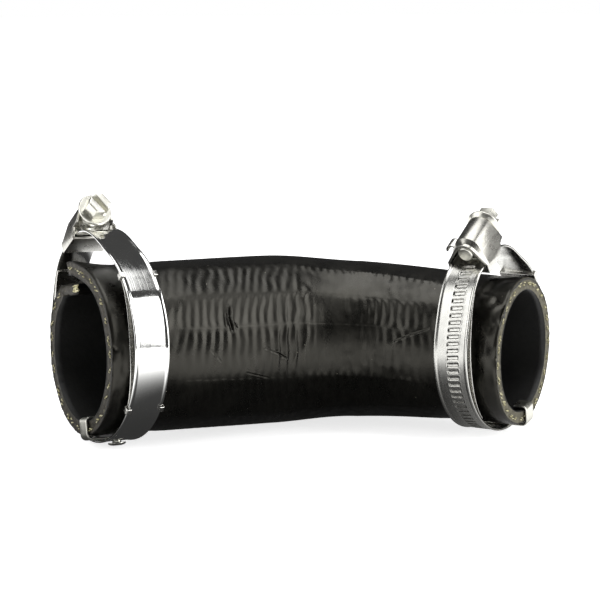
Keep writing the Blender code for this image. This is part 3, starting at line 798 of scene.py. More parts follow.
# %% Hose mesh
COLUMN_STEP, FINE_STEP = math.radians(1.1), math.radians(0.55)
FINE_ARC = (math.radians(140.0), math.radians(202.0))
ROW_STEP, FINE_ROW_STEP = 0.36 * MM, 0.17 * MM
FINE_ROWS = (37.0 * MM, 62.0 * MM, 123.0 * MM, 137.0 * MM)
RIM_ROWS = 1.5 * MM
BORE_ROWS, BORE_UNEVEN = 70, 0.2 * MM
WALL_ROWS = 13
NOTCH_CENTRE = math.radians(57.0)
NOTCH_HALF_WIDTH = 4.25 * MM
NOTCH_DEPTH = 9.0 * MM
NOTCH_REACH = 26 * MM
LIP_LIFT, LIP_REACH = 2.6 * MM, 13.0 * MM


def spaced(start, end, stretches, step, fine_step):
    # Numbers from start to end that lie closer together in some stretches
    turns = [start, *stretches, end]
    parts = [np.linspace(a, b, round((b - a) / (fine_step if i % 2 else step)), endpoint=False)
             for i, (a, b) in enumerate(zip(turns, turns[1:]))]
    return np.concatenate(parts)


def lip_lift(along, around):
    # Beside the notch the wall has sprung outwards; across the notch it is pushed in a little
    past = np.degrees(around - NOTCH_CENTRE - NOTCH_HALF_WIDTH / LEFT_RADIUS)
    near = 1 - ease(along / LIP_REACH)
    up = np.where(past > -3.0, np.exp(-(np.maximum(past, 0.0) / 17.0) ** 2), 0.0)
    down = np.where(past <= -3.0, np.exp(-((past + 22.0) / 13.0) ** 2), 0.0)
    return near * (LIP_LIFT * up - 0.5 * LIP_LIFT * down)


def notch_depth(around):
    # How far in from the wide end the wall starts: deep in the middle, with torn sides
    offset = np.abs(np.sin(around - NOTCH_CENTRE)) * (LEFT_BORE / 2 + LEFT_WALL / 2)
    offset = np.where(np.cos(around - NOTCH_CENTRE) > 0, offset, 1.0)
    slope = np.clip((offset - NOTCH_HALF_WIDTH / 3) / (NOTCH_HALF_WIDTH * 2 / 3), 0.0, 1.0)
    deep = NOTCH_DEPTH - slope * NOTCH_HALF_WIDTH
    return np.where(offset < NOTCH_HALF_WIDTH, deep, 0.0)


def write_hose_attributes(mesh, along, turns, radius, wall, ridge):
    # On rubber, place is the spot on the hose before it was bent
    place = np.stack([radius * np.cos(turns), radius * np.sin(turns), along], -1)
    write_attribute(mesh, "place", place.reshape(-1, 3) / MM)
    write_attribute(mesh, "wall", wall.ravel())
    write_attribute(mesh, "ridge", ridge.ravel())


def make_hose():
    around = spaced(0.0, math.tau, FINE_ARC, COLUMN_STEP, FINE_STEP)
    columns = len(around)
    start = notch_depth(around)
    ends = RIM_ROWS * (1 - np.cos(np.linspace(0, math.pi / 2, 6)))
    rows = spaced(RIM_ROWS, HOSE_LENGTH - RIM_ROWS, FINE_ROWS, ROW_STEP, FINE_ROW_STEP)
    skin = np.concatenate([ends, rows[1:], HOSE_LENGTH - ends[::-1]])
    bore = np.linspace(HOSE_LENGTH, 0, BORE_ROWS)
    across = np.linspace(0, 1, WALL_ROWS)[1:-1]

    def moved_in(rows):
        return np.where(rows[:, None] < NOTCH_REACH,
                        start + rows[:, None] * (1 - start / NOTCH_REACH), rows[:, None])

    def cut_wall(end, rows, seed):
        # A cut across the wall: rough, and dished a little where the ply is
        wall = np.broadcast_to(rows[:, None], (len(rows), columns))
        along = start[None] + 0 * wall if end == "left" else np.full(wall.shape, HOSE_LENGTH)
        turn = np.broadcast_to(around / math.tau, along.shape)
        rough = soft_noise(wall * 9, turn, 150, seed) - 0.5
        wide = soft_noise(wall * 2, turn, 21, seed + 1)
        ply = np.exp(-((wall - 0.5) / 0.12) ** 2)
        inset = (0.3 * rough + 0.35 * wide + 0.25 * ply) * MM
        radius = skin_radius(along) - wall_thickness(along) * wall
        return along + inset * (1 if end == "left" else -1), radius, wall

    turns = np.broadcast_to(around, (len(skin), columns))
    along_skin = moved_in(skin)
    depth, ridge = skin_depth(along_skin, turns)
    blocks = [(along_skin, skin_radius(along_skin) - depth, np.zeros_like(along_skin), ridge)]
    along, radius, wall = cut_wall("right", across, 21)
    blocks.append((along, radius, wall, np.zeros_like(along)))
    along_bore = moved_in(bore)
    turn = np.broadcast_to(around / math.tau, along_bore.shape)
    uneven = BORE_UNEVEN * soft_noise(along_bore / (12 * MM), turn, 12, 31)
    blocks.append((along_bore, skin_radius(along_bore) - wall_thickness(along_bore) + uneven,
                   np.ones_like(along_bore), np.zeros_like(along_bore)))
    along, radius, wall = cut_wall("left", across[::-1], 25)
    blocks.append((along, radius, wall, np.zeros_like(along)))

    along, radius, wall, ridge = (np.concatenate([block[i] for block in blocks]) for i in range(4))
    turns = np.broadcast_to(around, along.shape)
    radius = radius + lip_lift(along, turns)
    points = hose_points(along, turns, radius).reshape(-1, 3)
    faces = grid_faces(len(along), columns, True, True)
    rows = [len(block[0]) for block in blocks]
    first = np.cumsum([0] + rows)
    row_slot = np.zeros(len(along), dtype=np.int32)
    row_slot[first[1] - 1:first[2]] = 1
    row_slot[first[2]:first[3] - 1] = 2
    row_slot[first[3] - 1:] = 3
    slots = np.repeat(row_slot, columns)
    materials = [RUBBER_SKIN, CUT_RIGHT_PAINTED_LIT, RUBBER_BORE, CUT_LEFT]
    mesh = mesh_from("hose_skin", points, faces, materials, slots)
    write_hose_attributes(mesh, along, turns, radius, wall, ridge)
    return link("hose_skin", mesh)


hose = make_hose()
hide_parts("hose")
print("hose faces:", len(hose.data.polygons))

# %% [markdown]
# ## Cut yarns
# Where the knife went through the reinforcement, short ends of pale yarn stand out of the cut
# walls. Their dry fibres have no shine, and their colour drifts from dark straw to pale straw.

# %% Yarn material
DARK_YARN, PALE_YARN = (0.42, 0.38, 0.19), (0.82, 0.78, 0.52)


def make_yarn_material():
    material, tree, shader = new_material("yarn", (0.5, 0.46, 0.25), 0.7)
    place = read_attribute(tree, "place")
    tone = noise(tree, place, 1.5, 2.0)
    tree.links.new(mixed(tree, between(tree, tone, 0.35, 0.65), DARK_YARN, PALE_YARN),
                   shader.inputs["Base Color"])
    bump(tree, shader, noise(tree, place, 9.0, 2.0), 0.00005, 0.6)
    return material


YARN = make_yarn_material()


# %% [markdown]
# Each yarn is a tube with six sides that gets thinner towards both ends. Its line is laid out
# on the unbent hose, like the ripples, and all the yarns of one end are one mesh.

# %% Strands
STRAND_SIDES = 6
LEANING = (0.31, 0.2, 0.93)
YARN_RISE, YARN_DROP = 0.14, 0.35


def strand(line, thickness):
    # A tapered tube along a short line of points, closed at both ends
    points = []
    for i, centre in enumerate(line):
        ahead = line[min(i + 1, len(line) - 1)] - line[max(i - 1, 0)]
        side = np.cross(ahead, LEANING)
        side /= np.linalg.norm(side)
        other = np.cross(ahead, side)
        other /= np.linalg.norm(other)
        taper = abs(2 * i / (len(line) - 1) - 1) ** 3
        size = thickness * (1 - 0.6 * taper)
        for k in range(STRAND_SIDES):
            angle = math.tau * k / STRAND_SIDES
            points.append(centre + (side * math.cos(angle) + other * math.sin(angle)) * size / 2)
    faces = grid_faces(len(line), STRAND_SIDES, False, True).tolist()
    faces.append(list(range(STRAND_SIDES)))
    last = (len(line) - 1) * STRAND_SIDES
    faces.append(list(range(last, last + STRAND_SIDES)))
    return points, faces


def join_strands(name, strands):
    points, faces = [], []
    for new_points, new_faces in strands:
        offset = len(points)
        points += new_points
        faces += [[i + offset for i in face] for face in new_faces]
    points = np.array(points)
    mesh = mesh_from(name, points, faces, [YARN])
    write_attribute(mesh, "place", points / MM)
    piece = link(name, mesh)
    return piece


def wall_yarns(name, left, count, seed):
    # The yarns were laid in pairs, so their ends stand in small groups with bare rubber between.
    # Each is a shallow arch: its middle stands out of the cut and both its ends go into it.
    rng = np.random.default_rng(seed)
    strands = []
    for i in range(count):
        middle = math.tau * (i + rng.uniform(-0.25, 0.25)) / count
        if left and notch_depth(np.array([middle]))[0] > 0:
            continue
        depth = 0.5 + rng.uniform(-0.08, 0.08)
        for k in range(rng.integers(2, 4)):
            around = middle + (k - 0.7) * rng.uniform(0.03, 0.045)
            wall = depth + (0.07 if k % 2 else -0.07) + rng.uniform(-0.03, 0.03)
            length = rng.uniform(0.7, 1.25) * MM
            end = 0.0 if left else HOSE_LENGTH
            radius = skin_radius(end) - wall_thickness(end) * wall
            radius += float(lip_lift(np.array(end), np.array(around))) if left else 0.0
            tilt = rng.uniform(-0.3, 0.3)
            line = []
            for t in np.linspace(-0.5, 0.5, 5):
                out = (YARN_RISE - YARN_DROP * (2 * t) ** 2) * MM
                line.append(hose_points(np.array(end - out if left else end + out),
                                        np.array(around + t * length / radius),
                                        radius + tilt * t * length))
            strands.append(strand(line, rng.uniform(0.3, 0.48) * MM))
    return join_strands(name, strands)


yarns_left = wall_yarns("cut_yarns_wide", True, 29, 41)
yarns_right = wall_yarns("cut_yarns_narrow", False, 31, 43)


# %% [markdown]
# The wide end was slit, and the strip of wall that came loose has curled into the bore. It is
# swept along a curve of its own: a rounded slab of rubber with a cut face towards us. Its middle
# line is given as degrees round the hose and millimetres from the centre line.

# %% Curled flap
FLAP_LINE = np.array([(34.0, 25.3), (42.0, 24.9), (50.0, 23.4), (60.0, 21.3), (70.0, 20.4),
                      (79.0, 20.4)])
FLAP_THICK, FLAP_START, FLAP_LONG = 3.7 * MM, 0.5 * MM, 6.5 * MM
FLAP_ROWS, FLAP_SIDES, FLAP_SQUARE = 44, 28, 0.45
# The tip rounds off from here on. A face of the loop was cut, not moulded, where the v of its
# two corners adds up to less than this.
TIP_FROM, CUT_FACE = 0.9, -1.2


def flap_place(t):
    # The middle line of the flap, from its root to its tip
    spot = np.clip(t, 0.0, 1.0) * (len(FLAP_LINE) - 1)
    step = np.arange(len(FLAP_LINE))
    return (np.radians(np.interp(spot, step, FLAP_LINE[:, 0])),
            np.interp(spot, step, FLAP_LINE[:, 1]) * MM)


def make_flap():
    t = np.linspace(0.0, 1.0, FLAP_ROWS)
    around, middle = flap_place(t)
    smooth = np.ones(7) / 7
    middle = np.convolve(np.pad(middle, 3, "edge"), smooth, "valid")
    past_tip = np.clip((t - TIP_FROM) / (1 - TIP_FROM), 0.0, 1.0)
    tip = np.sqrt(np.clip(1 - past_tip ** 2, 0.02, 1.0))
    side = np.arange(FLAP_SIDES) * math.tau / FLAP_SIDES
    # A squarish loop: u goes through the wall, v goes from the cut face into the hose
    u = np.sign(np.cos(side)) * np.abs(np.cos(side)) ** FLAP_SQUARE
    v = np.sign(np.sin(side)) * np.abs(np.sin(side)) ** FLAP_SQUARE
    turn = np.broadcast_to(around[:, None], (FLAP_ROWS, FLAP_SIDES))
    loop = np.broadcast_to(side / math.tau, turn.shape)
    lumpy = soft_noise(t[:, None] * 9 + 0 * turn, loop, 9, 61)
    ragged = 0.35 * MM * (lumpy - 0.5)
    radius = middle[:, None] + (u * FLAP_THICK / 2)[None] * tip[:, None] + ragged
    along = FLAP_START + (0.5 + 0.5 * v)[None] * FLAP_LONG * (0.75 + 0.25 * tip[:, None]) + ragged
    points = hose_points(along, turn, radius).reshape(-1, 3)
    faces = grid_faces(FLAP_ROWS, FLAP_SIDES, False, True).tolist()
    cut = (v[:-1] + v[1:] < CUT_FACE).tolist() + [False]
    slots = [1 if cut[i % FLAP_SIDES] else 0 for i in range(len(faces))] + [0, 0]
    faces += [list(range(FLAP_SIDES)), list(range(len(points) - FLAP_SIDES, len(points)))]
    mesh = mesh_from("notch_flap", points, faces, [RUBBER_SKIN, CUT_LEFT], slots)
    wall = np.broadcast_to(0.5 - 0.5 * u[None], turn.shape)
    write_hose_attributes(mesh, along, turn, radius, wall, np.full(len(points), 0.5))
    piece = link("notch_flap", mesh)
    return piece


flap = make_flap()


# %% [markdown]
# The flap's tip is a torn yarn bundle: two dozen short fibres side by side, pale as raw thread.

# %% Fibres on the flap's tip
FIBRES = 26


def notch_tuft():
    rng = np.random.default_rng(47)
    strands = []
    for i in range(FIBRES):
        root = rng.uniform(0.8, 0.92)
        depth = rng.uniform(-0.35, 0.15) * MM
        out = rng.uniform(-1.1, 1.0) * MM
        reach = rng.uniform(0.08, 0.15)
        sway = rng.uniform(-0.5, 0.5) * MM
        line = []
        for t in np.linspace(0, 1, 6):
            around, radius = flap_place(root)
            line.append(hose_points(np.array(FLAP_START + depth + 0.3 * MM * t * t),
                                    np.array(float(around) + reach * t),
                                    float(radius) + out + sway * t * t))
        strands.append(strand(line, rng.uniform(0.3, 0.5) * MM))
    return join_strands("notch_fibres", strands)


tuft = notch_tuft()
print("yarn pieces:", yarns_left.name, yarns_right.name, tuft.name, "and", flap.name)

# %% [markdown]
# ## The clamps' axes
# Both clamps are the same product, closed to two sizes. Each has axes of its own: X along the
# hose towards its open end, Y along the worm screw towards its head and Z out through the
# housing. Working in those axes lets one function make both bands. Angles round a clamp start
# at the housing and grow towards the screw's head.

# %% Clamp axes
GAP = 0.3 * MM
BAND_WIDTH, BAND_THICKNESS = 12.0 * MM, 0.8 * MM
BLEND_ANGLE = math.radians(42.0)
FEET_LENGTH = 9.4 * MM
SADDLE_THICKNESS = 0.8 * MM
CLIP_ANGLE, CLIP_ROOM = math.radians(202.0), 0.8 * MM
CLIP_STACK = GAP + CLIP_ROOM + GAP
FIXED_TOP = SADDLE_THICKNESS + GAP + BAND_THICKNESS
THREADED_TOP = FIXED_TOP + GAP + BAND_THICKNESS


class Clamp:
    # inset is how far from the hose's end the ring sits, yaw turns the ring about the vertical,
    # and lean is how far its housing has slipped round from the top
    def __init__(self, side, ring, inset, yaw, lean):
        self.side = side
        self.ring = ring
        left = side == "left"
        x, y, heading = centre_line(np.array(inset if left else HOSE_LENGTH - inset))
        seat = Vector((float(x), float(y), 0.0))
        out_of_end = Vector((math.cos(heading), math.sin(heading), 0.0)) * (-1 if left else 1)
        sky = Vector((0.0, 0.0, 1.0))
        level = Matrix((out_of_end, sky.cross(out_of_end), sky)).transposed()
        turned = Matrix.Rotation(yaw * (1 if left else -1), 3, "Z") @ level
        axis = turned.col[0].copy()
        out = sky * math.cos(lean) - sky.cross(axis) * math.sin(lean)
        along = out.cross(axis)
        hose_radius = LEFT_RADIUS if left else RIGHT_RADIUS
        reach = ring - BAND_THICKNESS - CLIP_STACK - hose_radius
        drop = out * math.cos(CLIP_ANGLE) + along * math.sin(CLIP_ANGLE)
        own = Matrix((axis, along, out)).transposed().to_4x4()
        own.translation = seat - drop * reach
        self.axes = HOSE_AXES @ own
        # The end clip is square to the hose's end, so it has axes of its own
        x, y, _ = centre_line(np.array(0.0 if left else HOSE_LENGTH))
        down = (drop - out_of_end * drop.dot(out_of_end)).normalized()
        clip = Matrix((out_of_end, down.cross(out_of_end), down)).transposed().to_4x4()
        clip.translation = Vector((float(x), float(y), 0.0))
        self.clip_axes = HOSE_AXES @ clip
        self.hose_radius, self.hose_wall = hose_radius, LEFT_WALL if left else RIGHT_WALL
        self.inset = inset

    def band_radius(self, angle):
        # The band's outer face: flat under the housing, round everywhere else
        threaded = angle > math.radians(-180.0)
        angle = np.where(threaded, angle, angle + math.tau)
        flat = self.ring + np.where(threaded, THREADED_TOP, FIXED_TOP)
        end = np.where(threaded, -BAND_THICKNESS, FEET_LENGTH - 2 * GAP)
        edge = np.arctan2(end, flat)
        past = (angle - edge) * np.where(threaded, -1, 1)
        t = np.clip(past / BLEND_ANGLE, 0.0, 1.0)
        at_edge = flat / np.cos(edge)
        slope = flat * np.sin(np.abs(edge)) / np.cos(edge) ** 2
        # A cubic that leaves the flat with the flat's own slope and meets the ring level
        blended = ((2 * t ** 3 - 3 * t ** 2 + 1) * at_edge
                   + (t ** 3 - 2 * t ** 2 + t) * slope * BLEND_ANGLE
                   + (3 * t ** 2 - 2 * t ** 3) * self.ring)
        return np.where(past <= 0, flat / np.cos(angle), blended)


LEFT_CLAMP = Clamp("left", 33.1 * MM, 9.9 * MM, math.radians(3.0), math.radians(34.0))
RIGHT_CLAMP = Clamp("right", 29.5 * MM, 11.6 * MM, math.radians(4.0), math.radians(34.0))
print("left ring centre:", [round(v, 4) for v in LEFT_CLAMP.axes.translation])

# %% [markdown]
# ## The bands
# A band is a strip of steel, bent into a ring that overlaps under its housing. Its edges are
# turned up into a fine bead so that they don't cut the hose, and along the part that the worm
# can reach, the thread's slots are pressed into it: short slanted boxes with soft corners. A
# boolean cut would leave them sharp, so the strip is a fine grid whose points are pushed down
# where a slot is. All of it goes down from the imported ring, never up.

# %% Band strips
SLOT_PITCH, SLOT_LENGTH, SLOT_WIDTH = 2.3 * MM, 4.2 * MM, 1.4 * MM
SLOT_DEPTH, SLOT_OFFSET, SLOT_SKEW, SLOT_CORNER = 0.34 * MM, 0.8 * MM, 0.12, 0.35 * MM
SLOT_EASE, SLOT_LIP_WIDTH, SLOT_LIP = 0.3 * MM, 0.16 * MM, 0.05 * MM
SLOT_END = math.radians(-138.0)
BAND_STEP, PLAIN_ROWS, BAND_COLUMNS = 0.22 * MM, 110, 57
EDGE_RADIUS = 0.3 * MM
BEAD_HEIGHT, BEAD_START, BEAD_TOP = 0.2 * MM, 1.25 * MM, 0.65 * MM


def groove_depth(clamp, angle, x):
    # A rounded oblong for each slot; the nearest one is found by rounding to the pitch
    first = math.atan2(FEET_LENGTH - GAP, clamp.ring + THREADED_TOP)
    step = SLOT_PITCH / clamp.ring
    number = np.round((first - angle) / step)
    centre = first - number * step
    slotted = (number >= 1) & (centre > SLOT_END)
    along = (angle - centre) * clamp.ring - SLOT_SKEW * (x - SLOT_OFFSET)
    across = x - SLOT_OFFSET
    over_end = np.abs(across) - SLOT_LENGTH / 2 + SLOT_CORNER
    over_side = np.abs(along) - SLOT_WIDTH / 2 + SLOT_CORNER
    outside = (np.hypot(np.maximum(over_end, 0.0), np.maximum(over_side, 0.0))
               + np.minimum(np.maximum(over_end, over_side), 0.0) - SLOT_CORNER)
    floor = ease(-outside / SLOT_EASE)
    lip = np.exp(-((outside - SLOT_LIP_WIDTH) / SLOT_LIP_WIDTH) ** 2)
    return np.where(slotted, SLOT_DEPTH * floor - SLOT_LIP * lip, 0.0)


def band_section():
    # Across the strip's outer face, round both its edges, then back along its underside
    half = BAND_WIDTH / 2
    flat = np.linspace(-half + EDGE_RADIUS, half - EDGE_RADIUS, BAND_COLUMNS)
    bend = np.linspace(0, math.pi / 2, 6)[1:]
    x = np.concatenate([-half + EDGE_RADIUS - EDGE_RADIUS * np.sin(bend[::-1]), flat,
                        half - EDGE_RADIUS + EDGE_RADIUS * np.sin(bend)])
    drop = np.concatenate([EDGE_RADIUS * (1 - np.cos(bend[::-1])), np.zeros(len(flat)),
                           EDGE_RADIUS * (1 - np.cos(bend))])
    bead = ease((np.abs(x) - half + BEAD_START) / (BEAD_START - BEAD_TOP))
    under_x = np.array([half, half - EDGE_RADIUS, 0.0, -half + EDGE_RADIUS, -half])
    edge_drop = BAND_THICKNESS - EDGE_RADIUS * 0.8
    under_drop = np.array([edge_drop, BAND_THICKNESS, BAND_THICKNESS, BAND_THICKNESS, edge_drop])
    return x, drop + BEAD_HEIGHT * (1 - bead), under_x, under_drop


def make_band(clamp, material):
    # Each row of points is one section of the strip, and the rows follow each other along it
    threaded_end = math.atan2(FEET_LENGTH - GAP, clamp.ring + THREADED_TOP)
    fixed_end = math.atan2(2 * GAP, clamp.ring + FIXED_TOP) - math.tau
    fine = np.arange(threaded_end, SLOT_END, -BAND_STEP / clamp.ring)
    plain = np.linspace(SLOT_END, fixed_end, PLAIN_ROWS)
    angle = np.concatenate([fine, plain])
    x, drop, under_x, under_drop = band_section()
    rows, across = np.meshgrid(angle, x, indexing="ij")
    depth = groove_depth(clamp, rows, across) + drop[None]
    depth = np.concatenate([depth, np.broadcast_to(under_drop, (len(angle), len(under_drop)))], 1)
    x = np.concatenate([x, under_x])
    radius = clamp.band_radius(angle)[:, None] - depth
    columns = len(x)
    x = np.broadcast_to(x, radius.shape)
    y = radius * np.sin(angle)[:, None]
    z = radius * np.cos(angle)[:, None]
    points = np.stack([x, y, z], -1).reshape(-1, 3)
    faces = grid_faces(len(angle), columns, False, True).tolist()
    faces.append(list(range(columns)))
    faces.append(list(range(len(points) - columns, len(points))))
    name = f"{clamp.side}_band_strip"
    mesh = mesh_from(name, to_room(points, clamp.axes), faces, [material])
    mesh.set_sharp_from_angle(angle=math.radians(60.0))
    arc = np.broadcast_to((angle * clamp.ring)[:, None], radius.shape)
    write_attribute(mesh, "place", np.stack([x, arc, -depth], -1).reshape(-1, 3) / MM)
    piece = link(name, mesh)
    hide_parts(f"{clamp.side}_band")
    return piece


left_band = make_band(LEFT_CLAMP, POLISHED)
right_band = make_band(RIGHT_CLAMP, SATIN)
print("band faces:", len(left_band.data.polygons), len(right_band.data.polygons))

# %% [markdown]
# ## Liners and end clips
# Inside each band sit two thin sprung leaves, which press the hose evenly. The leaf on the side
# of the screw's head is crimped round both edges of the band, and bows away from it between the
# crimps. Under each band a strip is riveted that runs along the hose and hooks over its end.
# All of these are strips with round edges, so one helper sweeps a rounded oblong along a line.

# %% Swept strips
def rounded_oblong(width, thickness):
    # Points round the cross-section of a strip: across it, and through it
    flat = np.linspace(-0.5, 0.5, 7) * (width - thickness)
    round_edge = np.linspace(-math.pi / 2, math.pi / 2, 7)[1:-1]
    u = np.concatenate([flat, flat[-1] + np.cos(round_edge[::-1]) * thickness / 2, flat[::-1],
                        flat[0] - np.cos(round_edge) * thickness / 2])
    v = np.concatenate([np.full(7, 0.5), np.sin(round_edge[::-1]) / 2, np.full(7, -0.5),
                        np.sin(round_edge) / 2]) * thickness
    return u, v


def swept(centres, side, width, thickness):
    # A strip along the centres, with its width towards side all the way
    ahead = np.gradient(centres, axis=0)
    ahead /= np.linalg.norm(ahead, axis=1)[:, None]
    across = np.tile(side, (len(centres), 1))
    through = np.cross(across, ahead)
    u, v = rounded_oblong(width, thickness)
    points = (centres[:, None] + across[:, None] * u[None, :, None]
              + through[:, None] * v[None, :, None]).reshape(-1, 3)
    faces = grid_faces(len(centres), len(u), False, True).tolist()
    faces += [list(range(len(u))), list(range(len(points) - len(u), len(points)))]
    return points, faces


def rounded_path(corners, radii, step=0.1 * MM):
    # A flat line through the corners, each turned with its own radius
    path = [np.array(corners[0])]
    for before, corner, after, radius in zip(corners, corners[1:], corners[2:], radii):
        into = np.subtract(corner, before) / np.linalg.norm(np.subtract(corner, before))
        out = np.subtract(after, corner) / np.linalg.norm(np.subtract(after, corner))
        for t in np.linspace(0, 1, max(4, int(radius * 1.6 / step))):
            a, b = corner - into * radius, corner + out * radius
            path.append((1 - t) ** 2 * a + 2 * t * (1 - t) * np.array(corner) + t * t * b)
    path.append(np.array(corners[-1]))
    line = [path[0]]
    for a, b in zip(path, path[1:]):
        count = max(1, int(np.linalg.norm(b - a) / (6 * step)))
        line += [a + (b - a) * k / count for k in range(1, count + 1)]
    return np.array(line)


def steel_piece(name, parts, axes, material, node):
    points, faces = [], []
    for new_points, new_faces in parts:
        offset = sum(len(p) for p in points)
        points.append(new_points)
        faces += [[i + offset for i in face] for face in new_faces]
    points = np.concatenate(points)
    mesh = mesh_from(name, to_room(points, axes), faces, [material])
    mesh.set_sharp_from_angle(angle=math.radians(70.0))
    write_attribute(mesh, "place", points / MM)
    piece = link(name, mesh)
    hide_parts(node)
    return piece


# %% [markdown]
# Each leaf follows the inside of the ring and bows inwards in the middle. A crimp is a narrow
# strip across the band: under it, round both its edges and a little way back over the top.

# %% Liners
ALONG_HOSE = np.array([1.0, 0.0, 0.0])
LINER_THICKNESS, LINER_BULGE, TIP_SIDE_SHARE = 0.4 * MM, 3.5 * MM, 0.7
LINER_STEPS = 60
LINER_SPANS = {"head_side": (math.radians(76.0), math.radians(160.0)),
               "tip_side": (math.radians(-19.0), math.radians(-111.0))}
CRIMP_LENGTH, CRIMP_LIP, CRIMP_BEND = 2.0 * MM, 1.0 * MM, 0.3 * MM


def ring_radius(clamp, angle):
    return clamp.band_radius(np.where(angle < 0, angle, angle - math.tau))


def make_leaf(clamp, kind, first, last):
    t = np.linspace(0, 1, LINER_STEPS)
    angle = first + (last - first) * t
    bulge = LINER_BULGE if kind == "head_side" else TIP_SIDE_SHARE * LINER_BULGE
    bow = bulge * np.sin(math.pi * t) ** 1.3
    radius = ring_radius(clamp, angle) - BAND_THICKNESS - GAP - bow - LINER_THICKNESS / 2
    centres = np.stack([0 * t, radius * np.sin(angle), radius * np.cos(angle)], -1)
    return swept(centres, ALONG_HOSE, BAND_WIDTH - 2 * GAP, LINER_THICKNESS)


def make_crimp(clamp, angle):
    top = float(ring_radius(clamp, np.array(angle)))
    low = top - BAND_THICKNESS - GAP - LINER_THICKNESS
    high = top + GAP + LINER_THICKNESS / 2
    edge = BAND_WIDTH / 2 + GAP + LINER_THICKNESS / 2
    lip = BAND_WIDTH / 2 - CRIMP_LIP
    flat = rounded_path([(-lip, high), (-edge, high), (-edge, low), (edge, low), (edge, high),
                         (lip, high)], [CRIMP_BEND] * 4)
    out = np.array([0.0, math.sin(angle), math.cos(angle)])
    tangent = np.array([0.0, math.cos(angle), -math.sin(angle)])
    centres = flat[:, :1] * ALONG_HOSE + flat[:, 1:] * out
    return swept(centres, tangent, CRIMP_LENGTH, LINER_THICKNESS)


def make_liner(clamp, kind):
    first, last = LINER_SPANS[kind]
    parts = [make_leaf(clamp, kind, first, last)]
    if kind == "head_side":
        turn = math.copysign(CRIMP_LENGTH / 2 / clamp.ring, last - first)
        parts += [make_crimp(clamp, angle) for angle in (first + turn, last - turn)]
    node = f"{clamp.side}_liner_{kind}"
    return steel_piece(f"{node}_leaf", parts, clamp.axes, SPRUNG, node)


for clamp in (LEFT_CLAMP, RIGHT_CLAMP):
    for kind in LINER_SPANS:
        print("liner:", make_liner(clamp, kind).name)

# %% [markdown]
# The end clip's line is drawn from the side: along the hose, round the end of the wall and a
# little way back into the bore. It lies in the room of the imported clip, a little thinner and
# with rounder bends.

# %% End clips
CLIP_WIDTH, CLIP_STEEL = 6.0 * MM, 0.6 * MM
CLIP_TAIL, CLIP_TONGUE = 4.5 * MM, 3.6 * MM
CLIP_BENDS = (1.9 * MM, 1.3 * MM)


def make_clip(clamp):
    under = clamp.hose_radius + GAP + CLIP_ROOM - CLIP_STEEL / 2
    inside = clamp.hose_radius - clamp.hose_wall - 2 * GAP - CLIP_ROOM + CLIP_STEEL / 2
    front = GAP + CLIP_ROOM - CLIP_STEEL / 2
    flat = rounded_path([(-clamp.inset - CLIP_TAIL, under), (front, under), (front, inside),
                         (-CLIP_TONGUE, inside)], CLIP_BENDS)
    centres = np.stack([flat[:, 0], 0 * flat[:, 0], flat[:, 1]], -1)
    parts = [swept(centres, (0.0, 1.0, 0.0), CLIP_WIDTH, CLIP_STEEL)]
    node = f"{clamp.side}_end_clip"
    return steel_piece(f"{node}_strip", parts, clamp.clip_axes, PLATED, node)


print("clips:", [make_clip(clamp).name for clamp in (LEFT_CLAMP, RIGHT_CLAMP)])

# %% [markdown]
# ## Housings, screws and rivets
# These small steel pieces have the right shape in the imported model. Each gets a copy with its
# flat faces merged and its edges bevelled, since a bright line along each edge is what makes
# small metal parts look pressed or turned.

# %% Finished steel pieces
SAME_POINT, SAME_PLANE = 0.002 * MM, math.radians(0.5)
SHARP_BEFORE, SHARP_AFTER = math.radians(32.0), math.radians(40.0)
# The screw stopped with its slot upright. A sixth of a turn leaves the hexagon where it was.
HEAD_TURNS = {"left_screw": math.radians(-60.0)}


def finished(node, clamp, material, bevel, body, name):
    mesh = frame["nodes"][node].data.copy()
    mesh.name = name
    shape = bmesh.new()
    shape.from_mesh(mesh)
    bmesh.ops.remove_doubles(shape, verts=shape.verts, dist=SAME_POINT)
    bmesh.ops.dissolve_limit(shape, angle_limit=SAME_PLANE, verts=shape.verts, edges=shape.edges)
    sharp = [edge for edge in shape.edges
             if len(edge.link_faces) == 2 and edge.calc_face_angle() > SHARP_BEFORE]
    bmesh.ops.bevel(shape, geom=sharp, offset=bevel, offset_type="OFFSET", segments=2, profile=0.6,
                    affect="EDGES", clamp_overlap=True)
    if body in HEAD_TURNS:
        joints = frame["record"]["behaviour"]["joints"]
        joint = next(row for row in joints if row["child"] == body)
        turned = Matrix.Rotation(HEAD_TURNS[body], 3, Vector(joint["axis"]))
        bmesh.ops.rotate(shape, verts=shape.verts, cent=Vector(joint["pos_m"]), matrix=turned)
    shape.to_mesh(mesh)
    shape.free()
    mesh.materials.clear()
    mesh.materials.append(material)
    mesh.shade_smooth()
    mesh.set_sharp_from_angle(angle=SHARP_AFTER)
    points = np.zeros(len(mesh.vertices) * 3)
    mesh.vertices.foreach_get("co", points)
    write_attribute(mesh, "place", to_room(points.reshape(-1, 3), clamp.axes.inverted()) / MM)
    piece = link(name, mesh, body)
    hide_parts(node)
    return piece


SMALL_PIECES = (("housing", PRESSED, 0.14 * MM, "pressed_housing"),
                ("worm_screw", PLATED, 0.12 * MM, "plated_steel"),
                ("clip_rivet", PLATED, 0.1 * MM, "plated_steel"))
for clamp in (LEFT_CLAMP, RIGHT_CLAMP):
    for kind, material, bevel, slot in SMALL_PIECES:
        body = f"{clamp.side}_screw" if kind == "worm_screw" else BODY
        node = f"{clamp.side}_{kind}"
        piece = finished(node, clamp, material, bevel, body, f"{node}_finished")
        print(piece.name, len(piece.data.polygons))

# %% [markdown]
# ## Table and light
# The photograph is a catalogue shot on white. The table is a pale sheet that the lamps light,
# so it keeps a soft shadow under the hose. It also glows a little, but only for the camera and
# in reflections: that makes it plain white in the picture and adds no light to the rubber.

